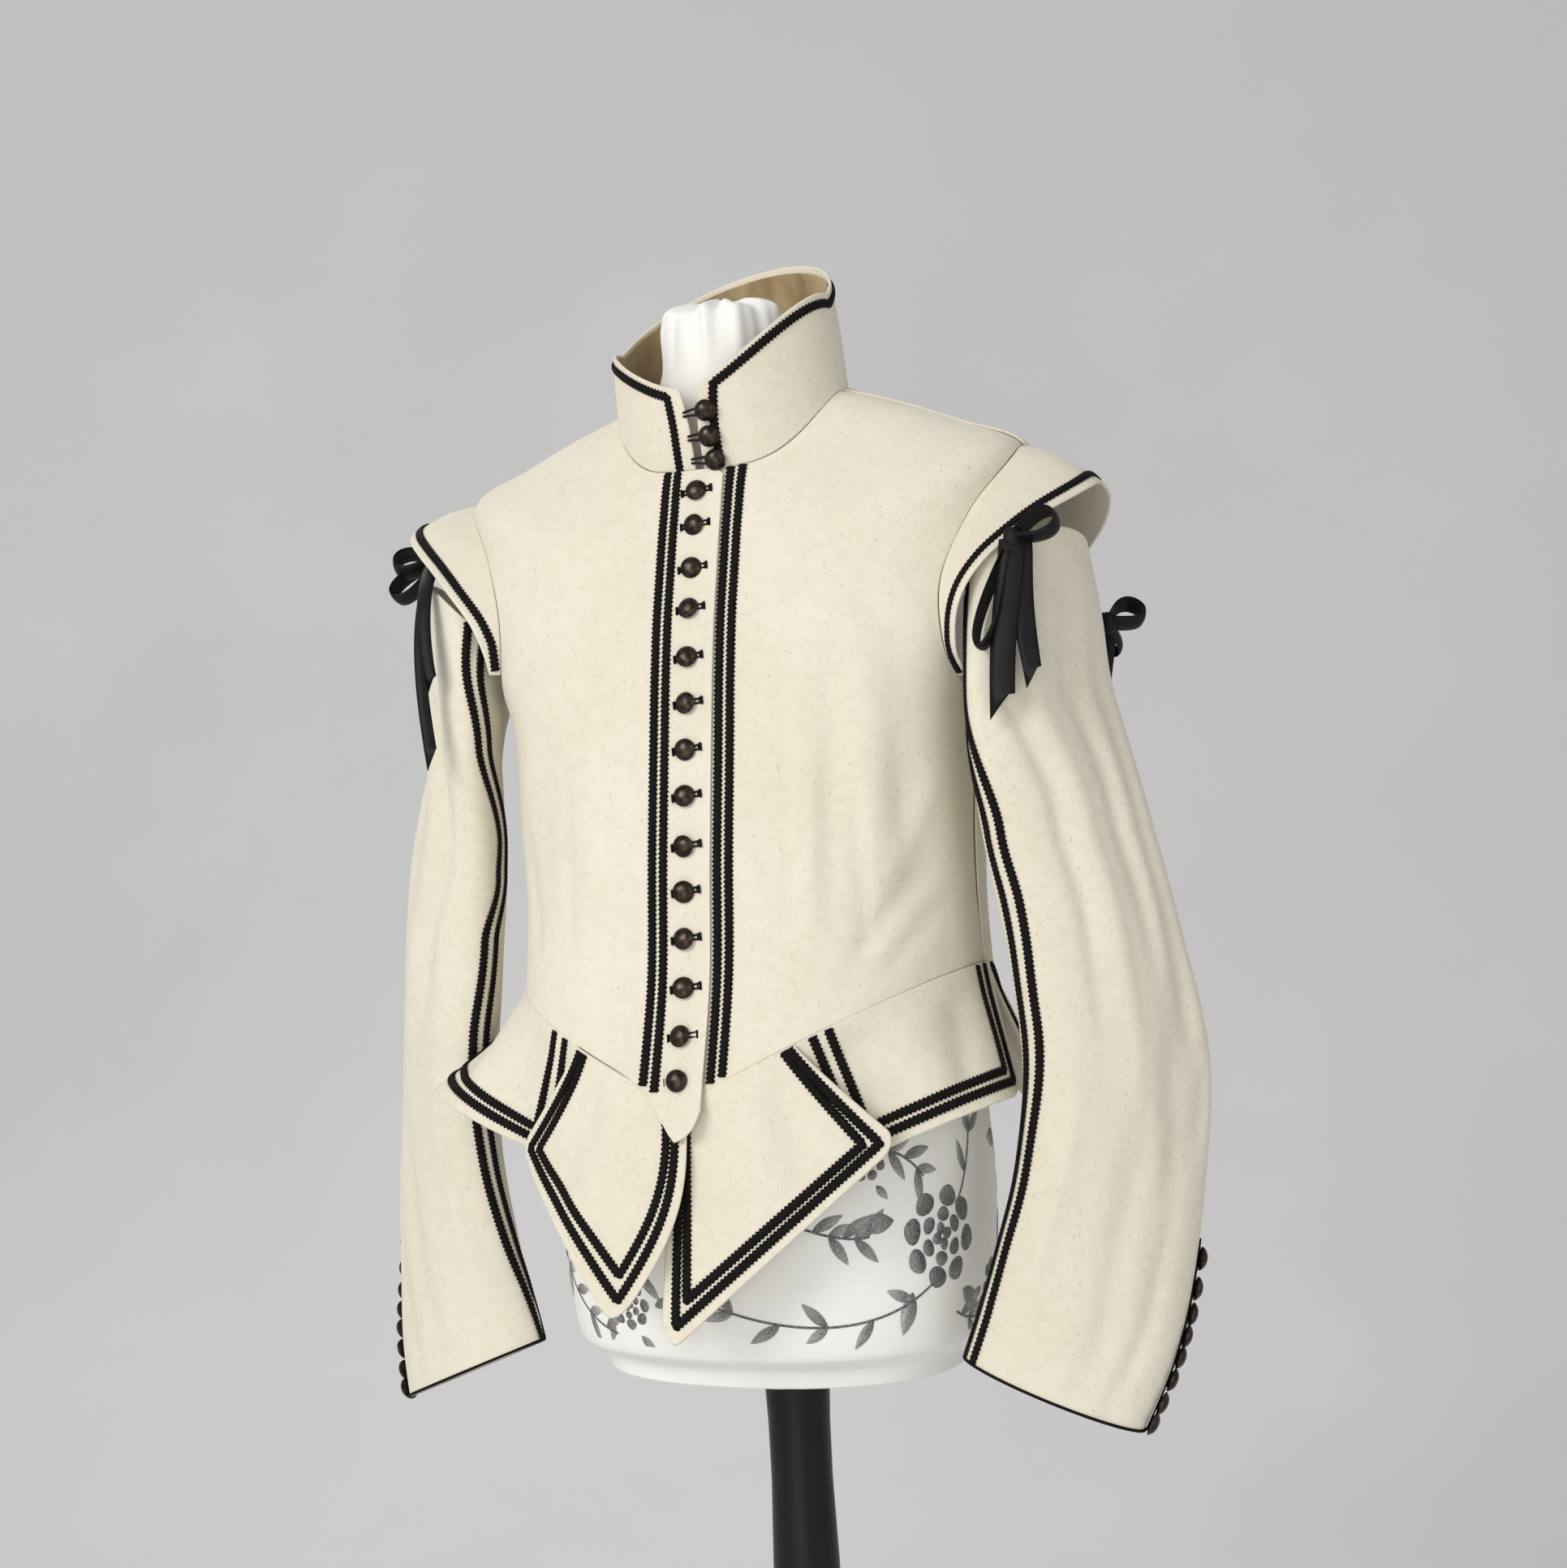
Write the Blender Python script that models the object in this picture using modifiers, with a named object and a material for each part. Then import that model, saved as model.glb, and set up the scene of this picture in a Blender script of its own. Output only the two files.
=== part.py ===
"""Doublet on a limbless dress form: every sewn piece is its own solid, laid over one padded torso on a post.

Metres, +Z up. The wearer faces -Y and the wearer's left is +X. The origin is under the middle of the base.
Cloth pieces are walls between an outer and an inner skin, lofted through rows of unlike sections.
"""
import bmesh
import bpy
import math
from mathutils import Vector

# Cloth and trim
WALL = 0.0020
SEAM = 0.0003
LINING_WALL = 0.0010
BRAID_WALL = 0.0012
BRAID_WIDTH = 0.0060
BRAID_GAP = 0.0020
BRAID_MARGIN = 0.0060
PAIR_WIDTH = 2 * BRAID_WIDTH + BRAID_GAP

# Centre front: the right front laps over the left one, x measured from the button line
LAP_EDGE = 0.0180
UNDER_EDGE = -0.0060
RIGHT_PAIR = 0.0125
LEFT_PAIR = 0.0195
BAND_END = 0.0400
LAP_LIFTED = 0.0280
LAP_LEVEL = 0.9
TONGUE_LENGTH = 0.0230

# Buttons
BUTTON_RADIUS = 0.0088
BUTTON_HEIGHT = 0.0060
BUTTON_HEIGHTS = (
    1.377, 1.353, 1.323, 1.295, 1.262, 1.231, 1.200, 1.169, 1.136, 1.106, 1.075, 1.043, 1.012, 0.984,
)
COLLAR_BUTTON_RADIUS = 0.0074
COLLAR_BUTTON_PLACES = ((4.4, 1.36), (5.2, 0.83), (6.4, 0.29))
SLEEVE_BUTTON_RADIUS = 0.0080

# Rings of the doublet's outer surface, from the waist seam up to the neck seam.
# cut_front and cut_back say how far round each panel goes, as a share of the half width: 1 is the side.
RING_COLUMNS = (
    "side_z", "front_z", "back_z", "half_width", "side_y", "front_y", "back_y",
    "square", "dip", "cut_front", "cut_back",
)
BODY_RINGS = (
    (1.047, 0.968, 1.036, 0.1650, -0.028, -0.1760, 0.083, 2.20, 0.95, 1.00, 1.00),
    (1.100, 1.045, 1.092, 0.1640, -0.032, -0.1560, 0.078, 2.25, 1.30, 1.00, 1.00),
    (1.160, 1.125, 1.156, 0.1660, -0.033, -0.1460, 0.086, 2.35, 1.80, 1.00, 1.00),
    (1.222, 1.200, 1.222, 0.1720, -0.026, -0.1340, 0.099, 2.45, 2.20, 1.00, 1.00),
    (1.264, 1.245, 1.270, 0.1840, -0.020, -0.1270, 0.106, 2.60, 2.40, 0.90, 0.90),
    (1.312, 1.285, 1.320, 0.1900, -0.016, -0.1190, 0.107, 2.60, 2.60, 0.87, 0.87),
    (1.358, 1.318, 1.364, 0.1980, -0.012, -0.1100, 0.102, 2.50, 2.80, 0.92, 0.91),
    (1.397, 1.347, 1.402, 0.2070, -0.010, -0.1020, 0.090, 2.40, 3.00, 1.00, 1.00),
    (1.417, 1.364, 1.422, 0.1650, -0.015, -0.0970, 0.076, 2.25, 3.20, 1.00, 1.00),
    (1.433, 1.379, 1.441, 0.1250, -0.021, -0.0930, 0.062, 2.10, 3.40, 1.00, 1.00),
    (1.446, 1.392, 1.459, 0.0845, -0.025, -0.0890, 0.043, 2.00, 3.50, 1.00, 1.00),
)
UNDERARM = 3
SHOULDER = 7
FRONT_LEVELS = (
    0, 0.08, 0.5, 0.9, 1.35, 1.8, 2.3, 2.7, 3, 3.35, 3.7, 4.1, 4.6, 5.1, 5.6, 6.1, 6.6, 7, 7.6, 8.3, 9.1, 10,
)
BACK_LEVELS = (0, 0.8, 1.6, 2.3, 3, 3.35, 3.8, 4.1, 4.5, 5.1, 5.8, 6.5, 7, 7.8, 8.8, 10)
NECK = 10

# The collar starts on the neck seam and leans forward; its rim rises from the throat to the nape
COLLAR_RINGS = (
    (1.4468, 1.3928, 1.4600, 0.0845, -0.025, -0.0890, 0.043, 2.00, 3.50, 1.00, 1.00),
    (1.4730, 1.4180, 1.5020, 0.0830, -0.031, -0.0960, 0.037, 2.00, 2.20, 1.00, 1.00),
    (1.5000, 1.4460, 1.5480, 0.0800, -0.037, -0.1020, 0.028, 2.00, 1.50, 1.00, 1.00),
)
COLLAR_TILT = 0.15
COLLAR_TURN_MOUTH = 2.5
COLLAR_TURN_RIM = 6.0

# Soft folds of the fronts, as lines on a panel seen from the front: a trough is a negative depth
FOLD_COLUMNS = ("side", "x_top", "z_top", "x_low", "z_low", "width", "depth")
FOLDS = (
    (1, 0.100, 1.265, 0.098, 1.075, 0.011, -0.0034),
    (1, 0.118, 1.285, 0.124, 1.085, 0.013, 0.0036),
    (1, 0.138, 1.215, 0.146, 1.075, 0.010, -0.0030),
    (1, 0.056, 1.225, 0.062, 1.080, 0.014, -0.0022),
    (-1, 0.120, 1.230, 0.118, 1.090, 0.016, -0.0026),
    (-1, 0.074, 1.180, 0.070, 1.060, 0.018, 0.0018),
)

# Sleeves, from the head under the wing down to the cuff, as on the wearer's left side.
# slope lifts the back seam, cap lifts the outer side, both as height for each metre across.
SLEEVE_COLUMNS = ("x", "y", "z", "half_width", "half_depth", "yaw", "slope", "cap")
SLEEVE_ROWS = (
    (0.2120, -0.031, 1.308, 0.0600, 0.0300, 72, 0.00, 0.90),
    (0.2152, -0.035, 1.266, 0.0630, 0.0300, 66, 0.05, 0.50),
    (0.2198, -0.042, 1.214, 0.0640, 0.0270, 60, 0.10, 0.15),
    (0.2320, -0.039, 1.135, 0.0610, 0.0320, 45, 0.14, 0.00),
    (0.2455, -0.033, 1.055, 0.0625, 0.0320, 41, 0.09, 0.00),
    (0.2550, -0.031, 0.975, 0.0680, 0.0310, 42, -0.02, 0.00),
    (0.2500, -0.043, 0.905, 0.0650, 0.0300, 35, -0.14, 0.00),
    (0.2390, -0.057, 0.845, 0.0635, 0.0285, 25, -0.26, 0.00),
    (0.2280, -0.070, 0.805, 0.0610, 0.0265, 15, -0.34, 0.00),
    (0.2140, -0.083, 0.7685, 0.0575, 0.0240, 6, -0.40, 0.00),
)

# Where each sleeve's front seam runs: place of the sleeve, then degrees off the middle of its front
SEAM_SWING = {
    1: ((0, -28), (1.7, -28), (2.9, 14), (3.5, 20), (4.5, 16), (5.7, 9), (6.6, 10), (9, 20)),
    -1: ((0, -20), (0.9, -12), (1.9, -28), (2.7, -43), (3.1, -34), (3.7, -12), (4.6, -2), (6.6, -1), (9, -11)),
}

# Shoulder wings: places along the armhole from its front foot, and how far the free edge stands off it
WING_FOOT = {1: 3.45, -1: 4.1}
WING_DROP = {1: 0.017, -1: 0.0}
WING_COLUMNS = ("along", "out_x", "out_y", "out_z")
WING_ROWS = (
    (0.00, 0.006, -0.004, 0.000),
    (0.14, 0.014, -0.013, -0.002),
    (0.28, 0.031, -0.017, -0.005),
    (0.40, 0.046, -0.012, -0.010),
    (0.50, 0.054, -0.004, -0.016),
    (0.60, 0.050, 0.008, -0.020),
    (0.74, 0.034, 0.012, -0.016),
    (0.88, 0.014, 0.008, -0.006),
    (1.00, 0.006, 0.004, 0.000),
)

# Skirt tabs, as turns round the waist seam from the centre front and as the places of their lower corners.
# lifts raise the top edge over the neighbour, curl bends the drop outwards, bow swings the front edge.
TAB_COLUMNS = (
    "turn_front", "turn_back", "front_x", "front_y", "front_z", "back_x", "back_y", "back_z",
    "lift_front", "lift_back", "curl", "bow",
)
TABS = {
    "tab_front_left": (-1.2, 25.5, -0.012, -0.196, 0.8140, 0.142, -0.152, 0.9420, 0.0000, 0.0026, 1.1, 0.000),
    "tab_front_right": (1.0, -26.0, -0.036, -0.212, 0.8330, -0.131, -0.152, 0.9380, 0.0026, 0.0026, 1.1, 0.018),
    "tab_side_left": (25.6, 92.0, 0.100, -0.137, 0.9240, 0.196, -0.058, 0.9600, 0.0000, 0.0026, 1.1, 0.000),
    "tab_side_right": (-26.1, -99.0, -0.102, -0.138, 0.9220, -0.2178, -0.1066, 0.9760, 0.0000, 0.0026, 1.6, 0.000),
    "tab_rear_left": (92.05, 139.0, 0.196, 0.010, 0.9420, 0.150, 0.106, 0.9360, 0.0000, 0.0023, 1.2, 0.000),
    "tab_rear_right": (-99.05, -139.0, -0.196, 0.010, 0.9420, -0.150, 0.106, 0.9360, 0.0000, 0.0023, 1.2, 0.000),
    "tab_back_left": (139.05, 179.0, 0.122, 0.094, 0.9300, 0.004, 0.126, 0.9280, 0.0000, 0.0026, 1.2, 0.000),
    "tab_back_right": (-139.05, -180.8, -0.122, 0.094, 0.9300, 0.012, 0.112, 0.9280, 0.0000, 0.0000, 1.2, 0.000),
}
TAB_INNER = BRAID_MARGIN + PAIR_WIDTH
CORNER_ROUND = 0.55

# Ribbon bows: knot place, then each loop and tail as its far end and how far it swings out of the straight
RIBBON_WIDTH = 0.0150
RIBBON_WALL = 0.0012
KNOT_RADIUS = 0.0085
BOWS = {
    "bow_left_front": {
        "knot": (0.2196, -0.0904, 1.3250),
        "loops": (((0.2485, -0.0878, 1.3370), 0.016), ((0.1980, -0.1058, 1.2550), 0.010)),
        "tails": ((0.2123, -0.1038, 1.2180), (0.2311, -0.0978, 1.2350)),
    },
    "bow_left_back": {
        "knot": (0.2502, 0.0252, 1.2740),
        "loops": (((0.2686, 0.0442, 1.2830), 0.017), ((0.2462, 0.0562, 1.2560), 0.010)),
        "tails": ((0.2422, 0.0442, 1.2200),),
    },
    "bow_right": {
        "knot": (-0.2374, -0.0340, 1.3565),
        "loops": (((-0.2707, -0.0440, 1.3540), 0.016), ((-0.2690, -0.0500, 1.3290), 0.015)),
        "tails": ((-0.2054, -0.1100, 1.2580), (-0.2031, -0.1200, 1.2050)),
    },
}

# Buttons up the back seam of each sleeve, as sleeve places from the cuff up
SLEEVE_BUTTONS = 8
SLEEVE_ROW_START = 8.80
SLEEVE_ROW_STEP = 0.30

# Dress form: how far it stays inside the doublet, and its own rings below the waist
FORM_EASE = 0.0060
FORM_ARM_X = 0.1600
HIP_RINGS = (
    (0.7690, 0.7690, 0.7690, 0.1290, -0.016, -0.1080, 0.078, 2.20, 2.0, 1.0, 1.0),
    (0.7810, 0.7810, 0.7810, 0.1330, -0.016, -0.1120, 0.082, 2.20, 2.0, 1.0, 1.0),
    (0.7880, 0.7880, 0.7880, 0.1420, -0.016, -0.1240, 0.090, 2.20, 2.0, 1.0, 1.0),
    (0.7980, 0.7980, 0.7980, 0.1490, -0.016, -0.1330, 0.098, 2.20, 2.0, 1.0, 1.0),
    (0.8400, 0.8400, 0.8400, 0.1540, -0.016, -0.1400, 0.104, 2.20, 2.0, 1.0, 1.0),
    (0.9000, 0.9000, 0.9000, 0.1560, -0.018, -0.1430, 0.102, 2.20, 2.0, 1.0, 1.0),
    (0.9700, 0.9600, 0.9700, 0.1540, -0.022, -0.1400, 0.088, 2.20, 2.0, 1.0, 1.0),
)
FORM_LEVELS = (0.2, 0.9, 1.6, 2.3, 3, 3.7, 4.4, 5.2, 6, 6.6, 7.1, 7.6, 8.2, 8.8)
NECK_RINGS = (
    (1.4380, 1.3830, 1.4540, 0.0720, -0.028, -0.0760, 0.028, 2.00, 3.5, 1.0, 1.0),
    (1.4490, 1.4060, 1.4680, 0.0590, -0.030, -0.0730, 0.018, 2.00, 3.0, 1.0, 1.0),
    (1.4760, 1.4580, 1.4840, 0.0460, -0.031, -0.0740, 0.014, 2.00, 2.0, 1.0, 1.0),
    (1.5020, 1.5000, 1.5040, 0.0425, -0.032, -0.0760, 0.012, 2.00, 2.0, 1.0, 1.0),
    (1.5110, 1.5100, 1.5120, 0.0350, -0.032, -0.0680, 0.004, 2.00, 2.0, 1.0, 1.0),
    (1.5150, 1.5150, 1.5150, 0.0180, -0.032, -0.0500, -0.014, 2.00, 2.0, 1.0, 1.0),
)

# Stand: heights and radii of the turned post and its base
STAND_PROFILE = (
    (0.0000, 0.1700), (0.0060, 0.1780), (0.0200, 0.1780), (0.0260, 0.1720), (0.0300, 0.0600), (0.0420, 0.0380),
    (0.0700, 0.0300), (0.3000, 0.0260), (0.5500, 0.0245), (0.6200, 0.0238), (0.6800, 0.0220), (0.7200, 0.0222),
    (0.7500, 0.0234), (0.7685, 0.0244),
)

# Finishes: base colour, roughness, metallic
FINISHES = {
    "wool": ((0.800, 0.765, 0.640), 0.90, 0.0),
    "lining": ((0.430, 0.330, 0.190), 0.85, 0.0),
    "braid": ((0.012, 0.011, 0.010), 0.75, 0.0),
    "button_metal": ((0.090, 0.075, 0.062), 0.32, 0.9),
    "ribbon": ((0.008, 0.008, 0.009), 0.55, 0.0),
    "form_cloth": ((0.830, 0.830, 0.815), 0.80, 0.0),
    "stand_paint": ((0.010, 0.010, 0.011), 0.40, 0.0),
}


def start_scene():
    """Empty the scene and make the collection and the finishes."""
    for old in list(bpy.data.objects):
        bpy.data.objects.remove(old, do_unlink=True)
    collection = bpy.data.collections.new("doublet on dress form")
    bpy.context.scene.collection.children.link(collection)
    materials = {}
    for name, (colour, roughness, metallic) in FINISHES.items():
        material = bpy.data.materials.new(name)
        material.use_nodes = True
        shader = material.node_tree.nodes["Principled BSDF"]
        shader.inputs["Base Color"].default_value = (*colour, 1.0)
        shader.inputs["Roughness"].default_value = roughness
        shader.inputs["Metallic"].default_value = metallic
        material.diffuse_color = (*colour, 1.0)
        materials[name] = material
    return collection, materials


COLLECTION, MATERIALS = start_scene()


def add_object(name, mesh, finish):
    """Put a mesh into the collection as a named object with its finish."""
    piece = bpy.data.objects.new(name, mesh)
    mesh.materials.clear()
    mesh.materials.append(MATERIALS[finish])
    COLLECTION.objects.link(piece)
    return piece


def between_rows(rows, place):
    """Read a table at a fractional row, smoothly through the rows."""
    last = len(rows) - 1
    low = min(max(int(math.floor(place)), 0), last - 1)
    t = place - low
    p0, p1 = rows[max(low - 1, 0)], rows[low]
    p2, p3 = rows[low + 1], rows[min(low + 2, last)]
    values = []
    for a, b, c, d in zip(p0, p1, p2, p3):
        if not 0.0 <= t <= 1.0:
            values.append(b + (c - b) * t)
            continue
        values.append(0.5 * (2 * b + (c - a) * t + (2 * a - 5 * b + 4 * c - d) * t * t
                             + (3 * b - a - 3 * c + d) * t ** 3))
    return values


def ring_at(rows, place):
    """A ring's values by column name."""
    return dict(zip(RING_COLUMNS, between_rows(rows, place)))


def ring_point(ring, turn):
    """Point of a ring at a turn in degrees from the centre front, positive towards the wearer's left."""
    angle = math.radians(turn)
    cosine, sine = math.cos(angle), math.sin(angle)
    power = 2.0 / ring["square"]
    share = abs(sine) ** power
    reach = abs(cosine) ** power
    end_y, end_z = (ring["front_y"], ring["front_z"]) if cosine >= 0 else (ring["back_y"], ring["back_z"])
    dip = (1.0 - min(1.0, share) ** ring["dip"]) if cosine >= 0 else abs(cosine)
    return Vector((
        math.copysign(ring["half_width"] * share, sine),
        ring["side_y"] + (end_y - ring["side_y"]) * reach,
        ring["side_z"] + (end_z - ring["side_z"]) * dip,
    ))


def turn_of_share(ring, share):
    """Turn at which a ring has come out to a share of its half width."""
    return math.degrees(math.asin(min(1.0, max(-1.0, math.copysign(abs(share) ** (ring["square"] / 2), share)))))


def smooth_step(low, high, value):
    """0 below low, 1 above high, smooth between."""
    t = min(1.0, max(0.0, (value - low) / (high - low)))
    return t * t * (3 - 2 * t)


def fold_height(side, point):
    """How far the soft folds of a front move a point outwards."""
    height = 0.0
    for fold_side, x_top, z_top, x_low, z_low, width, depth in FOLDS:
        if fold_side != side or not z_low < point.z < z_top:
            continue
        down = (z_top - point.z) / (z_top - z_low)
        across = (abs(point.x) - x_top - (x_low - x_top) * down) / width
        height += depth * math.exp(-across * across) * math.sin(math.pi * down) ** 0.8
    return height


def cut_share(ring, column, level):
    """Share of the half width where a panel ends: the side seam, the armhole or the shoulder seam."""
    if level <= UNDERARM or level >= SHOULDER:
        return 1.0
    return min(1.0, ring[column])


def front_point(side, u, level):
    """Outer surface of a front. u is the distance past the button line, then BAND_END plus a share of the rest."""
    ring = ring_at(BODY_RINGS, max(level, 0.0))
    near = min(u, BAND_END)
    turn = turn_of_share(ring, near / ring["half_width"])
    if u > BAND_END:
        turn += (turn_of_share(ring, cut_share(ring, "cut_front", level)) - turn) * (u - BAND_END)
    point = ring_point(ring, side * turn)
    point += Vector((point.x, point.y + 0.03, 0)).normalized() * fold_height(side, point)
    if side < 0:
        layers = 1 + min(1.0, max(0.0, (LAP_LEVEL - level) / LAP_LEVEL))
        point.y -= (WALL + 2 * SEAM) * layers * smooth_step(BAND_END, LAP_LIFTED, u)
    if level < 0:
        point += Vector((0, -0.32, -1)) * TONGUE_LENGTH * -level
    point.y -= SEAM / 2
    return point


def back_point(u, level):
    """Outer surface of the back, u from -1 at the wearer's right to 1 at the left."""
    ring = ring_at(BODY_RINGS, level)
    half = turn_of_share(ring, cut_share(ring, "cut_back", level))
    point = ring_point(ring, 180 - half * u)
    point.y += SEAM / 2
    return point


def collar_point(turn, level):
    """Outer surface of the standing collar; the mouth opens a little towards the rim."""
    mouth = COLLAR_TURN_MOUTH + (COLLAR_TURN_RIM - COLLAR_TURN_MOUTH) * max(0.0, level - 1) ** 1.5
    opened = mouth + (turn / 360.0) * (360.0 - 2 * mouth)
    point = ring_point(ring_at(COLLAR_RINGS, level), opened)
    point.z += COLLAR_TILT * point.x * max(0.0, level / 2) ** 1.5
    return point


def sleeve_axes(row, side):
    """Width and depth directions of a sleeve's section."""
    yaw = math.radians(row["yaw"])
    width = Vector((side * math.cos(yaw), math.sin(yaw), 0))
    depth = Vector((side * math.sin(yaw), -math.cos(yaw), 0))
    return width, depth


def seam_swing(side, place):
    """Degrees by which a sleeve's front seam leaves the middle of its front, at a place of the sleeve."""
    rows = SEAM_SWING[side]
    inside = min(max(place, 0.0), rows[-1][0] - 1e-6)
    low = max(i for i, row in enumerate(rows[:-1]) if row[0] <= inside)
    (start, first), (end, last) = rows[low], rows[low + 1]
    return first + (last - first) * smooth_step(start, end, inside)


def sleeve_point(side, turn, place):
    """Outer surface of a sleeve: turn 0 is the front seam, 90 the outer side, 180 the back seam."""
    row = dict(zip(SLEEVE_COLUMNS, between_rows(SLEEVE_ROWS, place)))
    width, depth = sleeve_axes(row, side)
    angle = math.radians(turn + seam_swing(side, place) * (1 - abs(turn) / 180))
    across = -math.cos(angle) * row["half_width"]
    outward = math.sin(angle) * row["half_depth"]
    centre = Vector((side * row["x"], row["y"], row["z"]))
    lift = row["slope"] * across + row["cap"] * outward
    return centre + width * across + depth * outward + Vector((0, 0, lift))


def armhole_point(side, along):
    """Edge of the armhole, along 0 at its front foot, 0.5 on the shoulder, 1 at its back foot."""
    foot = WING_FOOT[side]
    if along <= 0.5:
        level = foot + (SHOULDER - foot) * along * 2
        return front_point(side, BAND_END + 1.0, min(level, SHOULDER - 1e-4))
    level = foot + (SHOULDER - foot) * (1 - along) * 2
    return back_point(side * 1.0, min(level, SHOULDER - 1e-4))


def wing_point(side, along, out):
    """Outer surface of a shoulder wing, out 0 at the armhole seam and 1 at the free edge."""
    places = [row[0] for row in WING_ROWS]
    clamped = min(max(along, 0.0), 1.0)
    low = max(i for i, value in enumerate(places[:-1]) if value <= clamped)
    place = low + (clamped - places[low]) / (places[low + 1] - places[low])
    row = dict(zip(WING_COLUMNS, between_rows(WING_ROWS, place)))
    behind = smooth_step(0.5, 0.62, clamped)
    start = armhole_point(side, clamped) + Vector((side * 3 * SEAM, -5 * SEAM * behind, 0))
    reach = Vector((side * row["out_x"], row["out_y"], row["out_z"]))
    reach.z -= WING_DROP[side] * smooth_step(0.2, 0.6, clamped) * smooth_step(1.0, 0.7, clamped)
    arch = Vector((0, 0, 0.25 * abs(row["out_z"]) * math.sin(math.pi * min(1, max(0, out)))))
    return start + reach * out + arch


def tab_surface(tab, share, drop):
    """Outer surface of a skirt tab by shares of its width and of its length."""
    row = dict(zip(TAB_COLUMNS, TABS[tab]))
    ring = ring_at(BODY_RINGS, 0)

    def top_at(part):
        point = ring_point(ring, row["turn_front"] + (row["turn_back"] - row["turn_front"]) * part)
        lift = row["lift_front"] + (row["lift_back"] - row["lift_front"]) * part
        return point + Vector((point.x, point.y + 0.02, 0)).normalized() * lift - Vector((0, 0, 3.25 * SEAM))

    drop_front = Vector((row["front_x"], row["front_y"], row["front_z"])) - top_at(0)
    drop_back = Vector((row["back_x"], row["back_y"], row["back_z"])) - top_at(1)
    way = drop_front.lerp(drop_back, share)
    curled = math.copysign(abs(drop) ** (1 + (row["curl"] - 1) * share), drop)
    point = top_at(share) + Vector((way.x * curled, way.y * curled, way.z * drop))
    point.x += row["bow"] * math.sin(math.pi * min(1, max(0, drop))) * (1 - share)
    return point


def tab_point(tab, across, down):
    """Tab surface by metres: across and down are pairs of metres from an edge and a share of the rest."""
    drop_guess = down[1]
    width = max(0.05, (tab_surface(tab, 1, drop_guess) - tab_surface(tab, 0, drop_guess)).length)
    from_edge = across[0] + across[1] * (width - 2 * TAB_INNER)
    side_gap, other_gap = from_edge, width - from_edge
    length = (tab_surface(tab, 0.5, 1) - tab_surface(tab, 0.5, 0)).length
    from_top = down[0] + down[1] * (length - TAB_INNER)
    low_gap = length - from_top
    if low_gap < TAB_INNER and min(side_gap, other_gap) < TAB_INNER:
        near = min(side_gap, other_gap)
        a, b = (TAB_INNER - near) / TAB_INNER, (TAB_INNER - low_gap) / TAB_INNER
        near += TAB_INNER * a * (1 - math.sqrt(max(0, 1 - b * b / 2))) * CORNER_ROUND
        low_gap += TAB_INNER * b * (1 - math.sqrt(max(0, 1 - a * a / 2))) * CORNER_ROUND
        from_edge = near if side_gap < other_gap else width - near
        from_top = length - low_gap
    return tab_surface(tab, from_edge / width, from_top / length)


def surface_normal(surface, u, v, step_u, step_v):
    """Unit normal of a surface function by small steps each way."""
    along_u = surface(u + step_u, v) - surface(u - step_u, v)
    along_v = surface(u, v + step_v) - surface(u, v - step_v)
    return along_u.cross(along_v).normalized()


def skins(surface, us, vs, flip, steps, outer, inner):
    """Two grids of points: the surface moved out by outer and by inner."""
    grids = ([], [])
    for v in vs:
        rows = ([], [])
        for u in us:
            point = surface(u, v)
            normal = surface_normal(surface, u, v, *steps) * (-1 if flip else 1)
            rows[0].append(point + normal * outer)
            rows[1].append(point + normal * inner)
        grids[0].append(rows[0])
        grids[1].append(rows[1])
    return grids


def wall_mesh(name, grids, keep=None):
    """Closed wall between two grids of points; keep picks the cells that are cloth."""
    outer, inner = grids
    rows, columns = len(outer), len(outer[0])
    build = bmesh.new()
    made = {}

    def vert(layer, j, i):
        key = (layer, j, i)
        if key not in made:
            made[key] = build.verts.new((outer, inner)[layer][j][i])
        return made[key]

    cells = {(j, i) for j in range(rows - 1) for i in range(columns - 1) if keep is None or keep(j, i)}
    for j, i in cells:
        for layer in (0, 1):
            a, b = vert(layer, j, i), vert(layer, j, i + 1)
            c, d = vert(layer, j + 1, i + 1), vert(layer, j + 1, i)
            build.faces.new((a, b, c))
            build.faces.new((a, c, d))
        edges = {
            (j - 1, i): ((j, i), (j, i + 1)), (j, i + 1): ((j, i + 1), (j + 1, i + 1)),
            (j + 1, i): ((j + 1, i + 1), (j + 1, i)), (j, i - 1): ((j + 1, i), (j, i)),
        }
        for neighbour, (start, end) in edges.items():
            if neighbour not in cells:
                build.faces.new((vert(0, *start), vert(0, *end), vert(1, *end)))
                build.faces.new((vert(0, *start), vert(1, *end), vert(1, *start)))
    bmesh.ops.recalc_face_normals(build, faces=build.faces)
    mesh = bpy.data.meshes.new(name)
    build.to_mesh(mesh)
    build.free()
    return mesh


def cloth(name, surface, us, vs, steps, finish="wool", flip=False, outer=0.0, wall=WALL, keep=None):
    """A piece of cloth or trim on a surface, wall thick inwards from outer."""
    grids = skins(surface, us, vs, flip, steps, outer, outer - wall)
    return add_object(name, wall_mesh(name, grids, keep), finish)


def trim(name, surface, us, vs, steps, flip=False, keep=None):
    """Braid on a piece's own points, lifted clear of it."""
    return cloth(name, surface, us, vs, steps, "braid", flip, SEAM + BRAID_WALL, BRAID_WALL, keep)


def even(low, high, count):
    """Evenly spaced values with both ends."""
    return [low + (high - low) * i / count for i in range(count + 1)]


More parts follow.
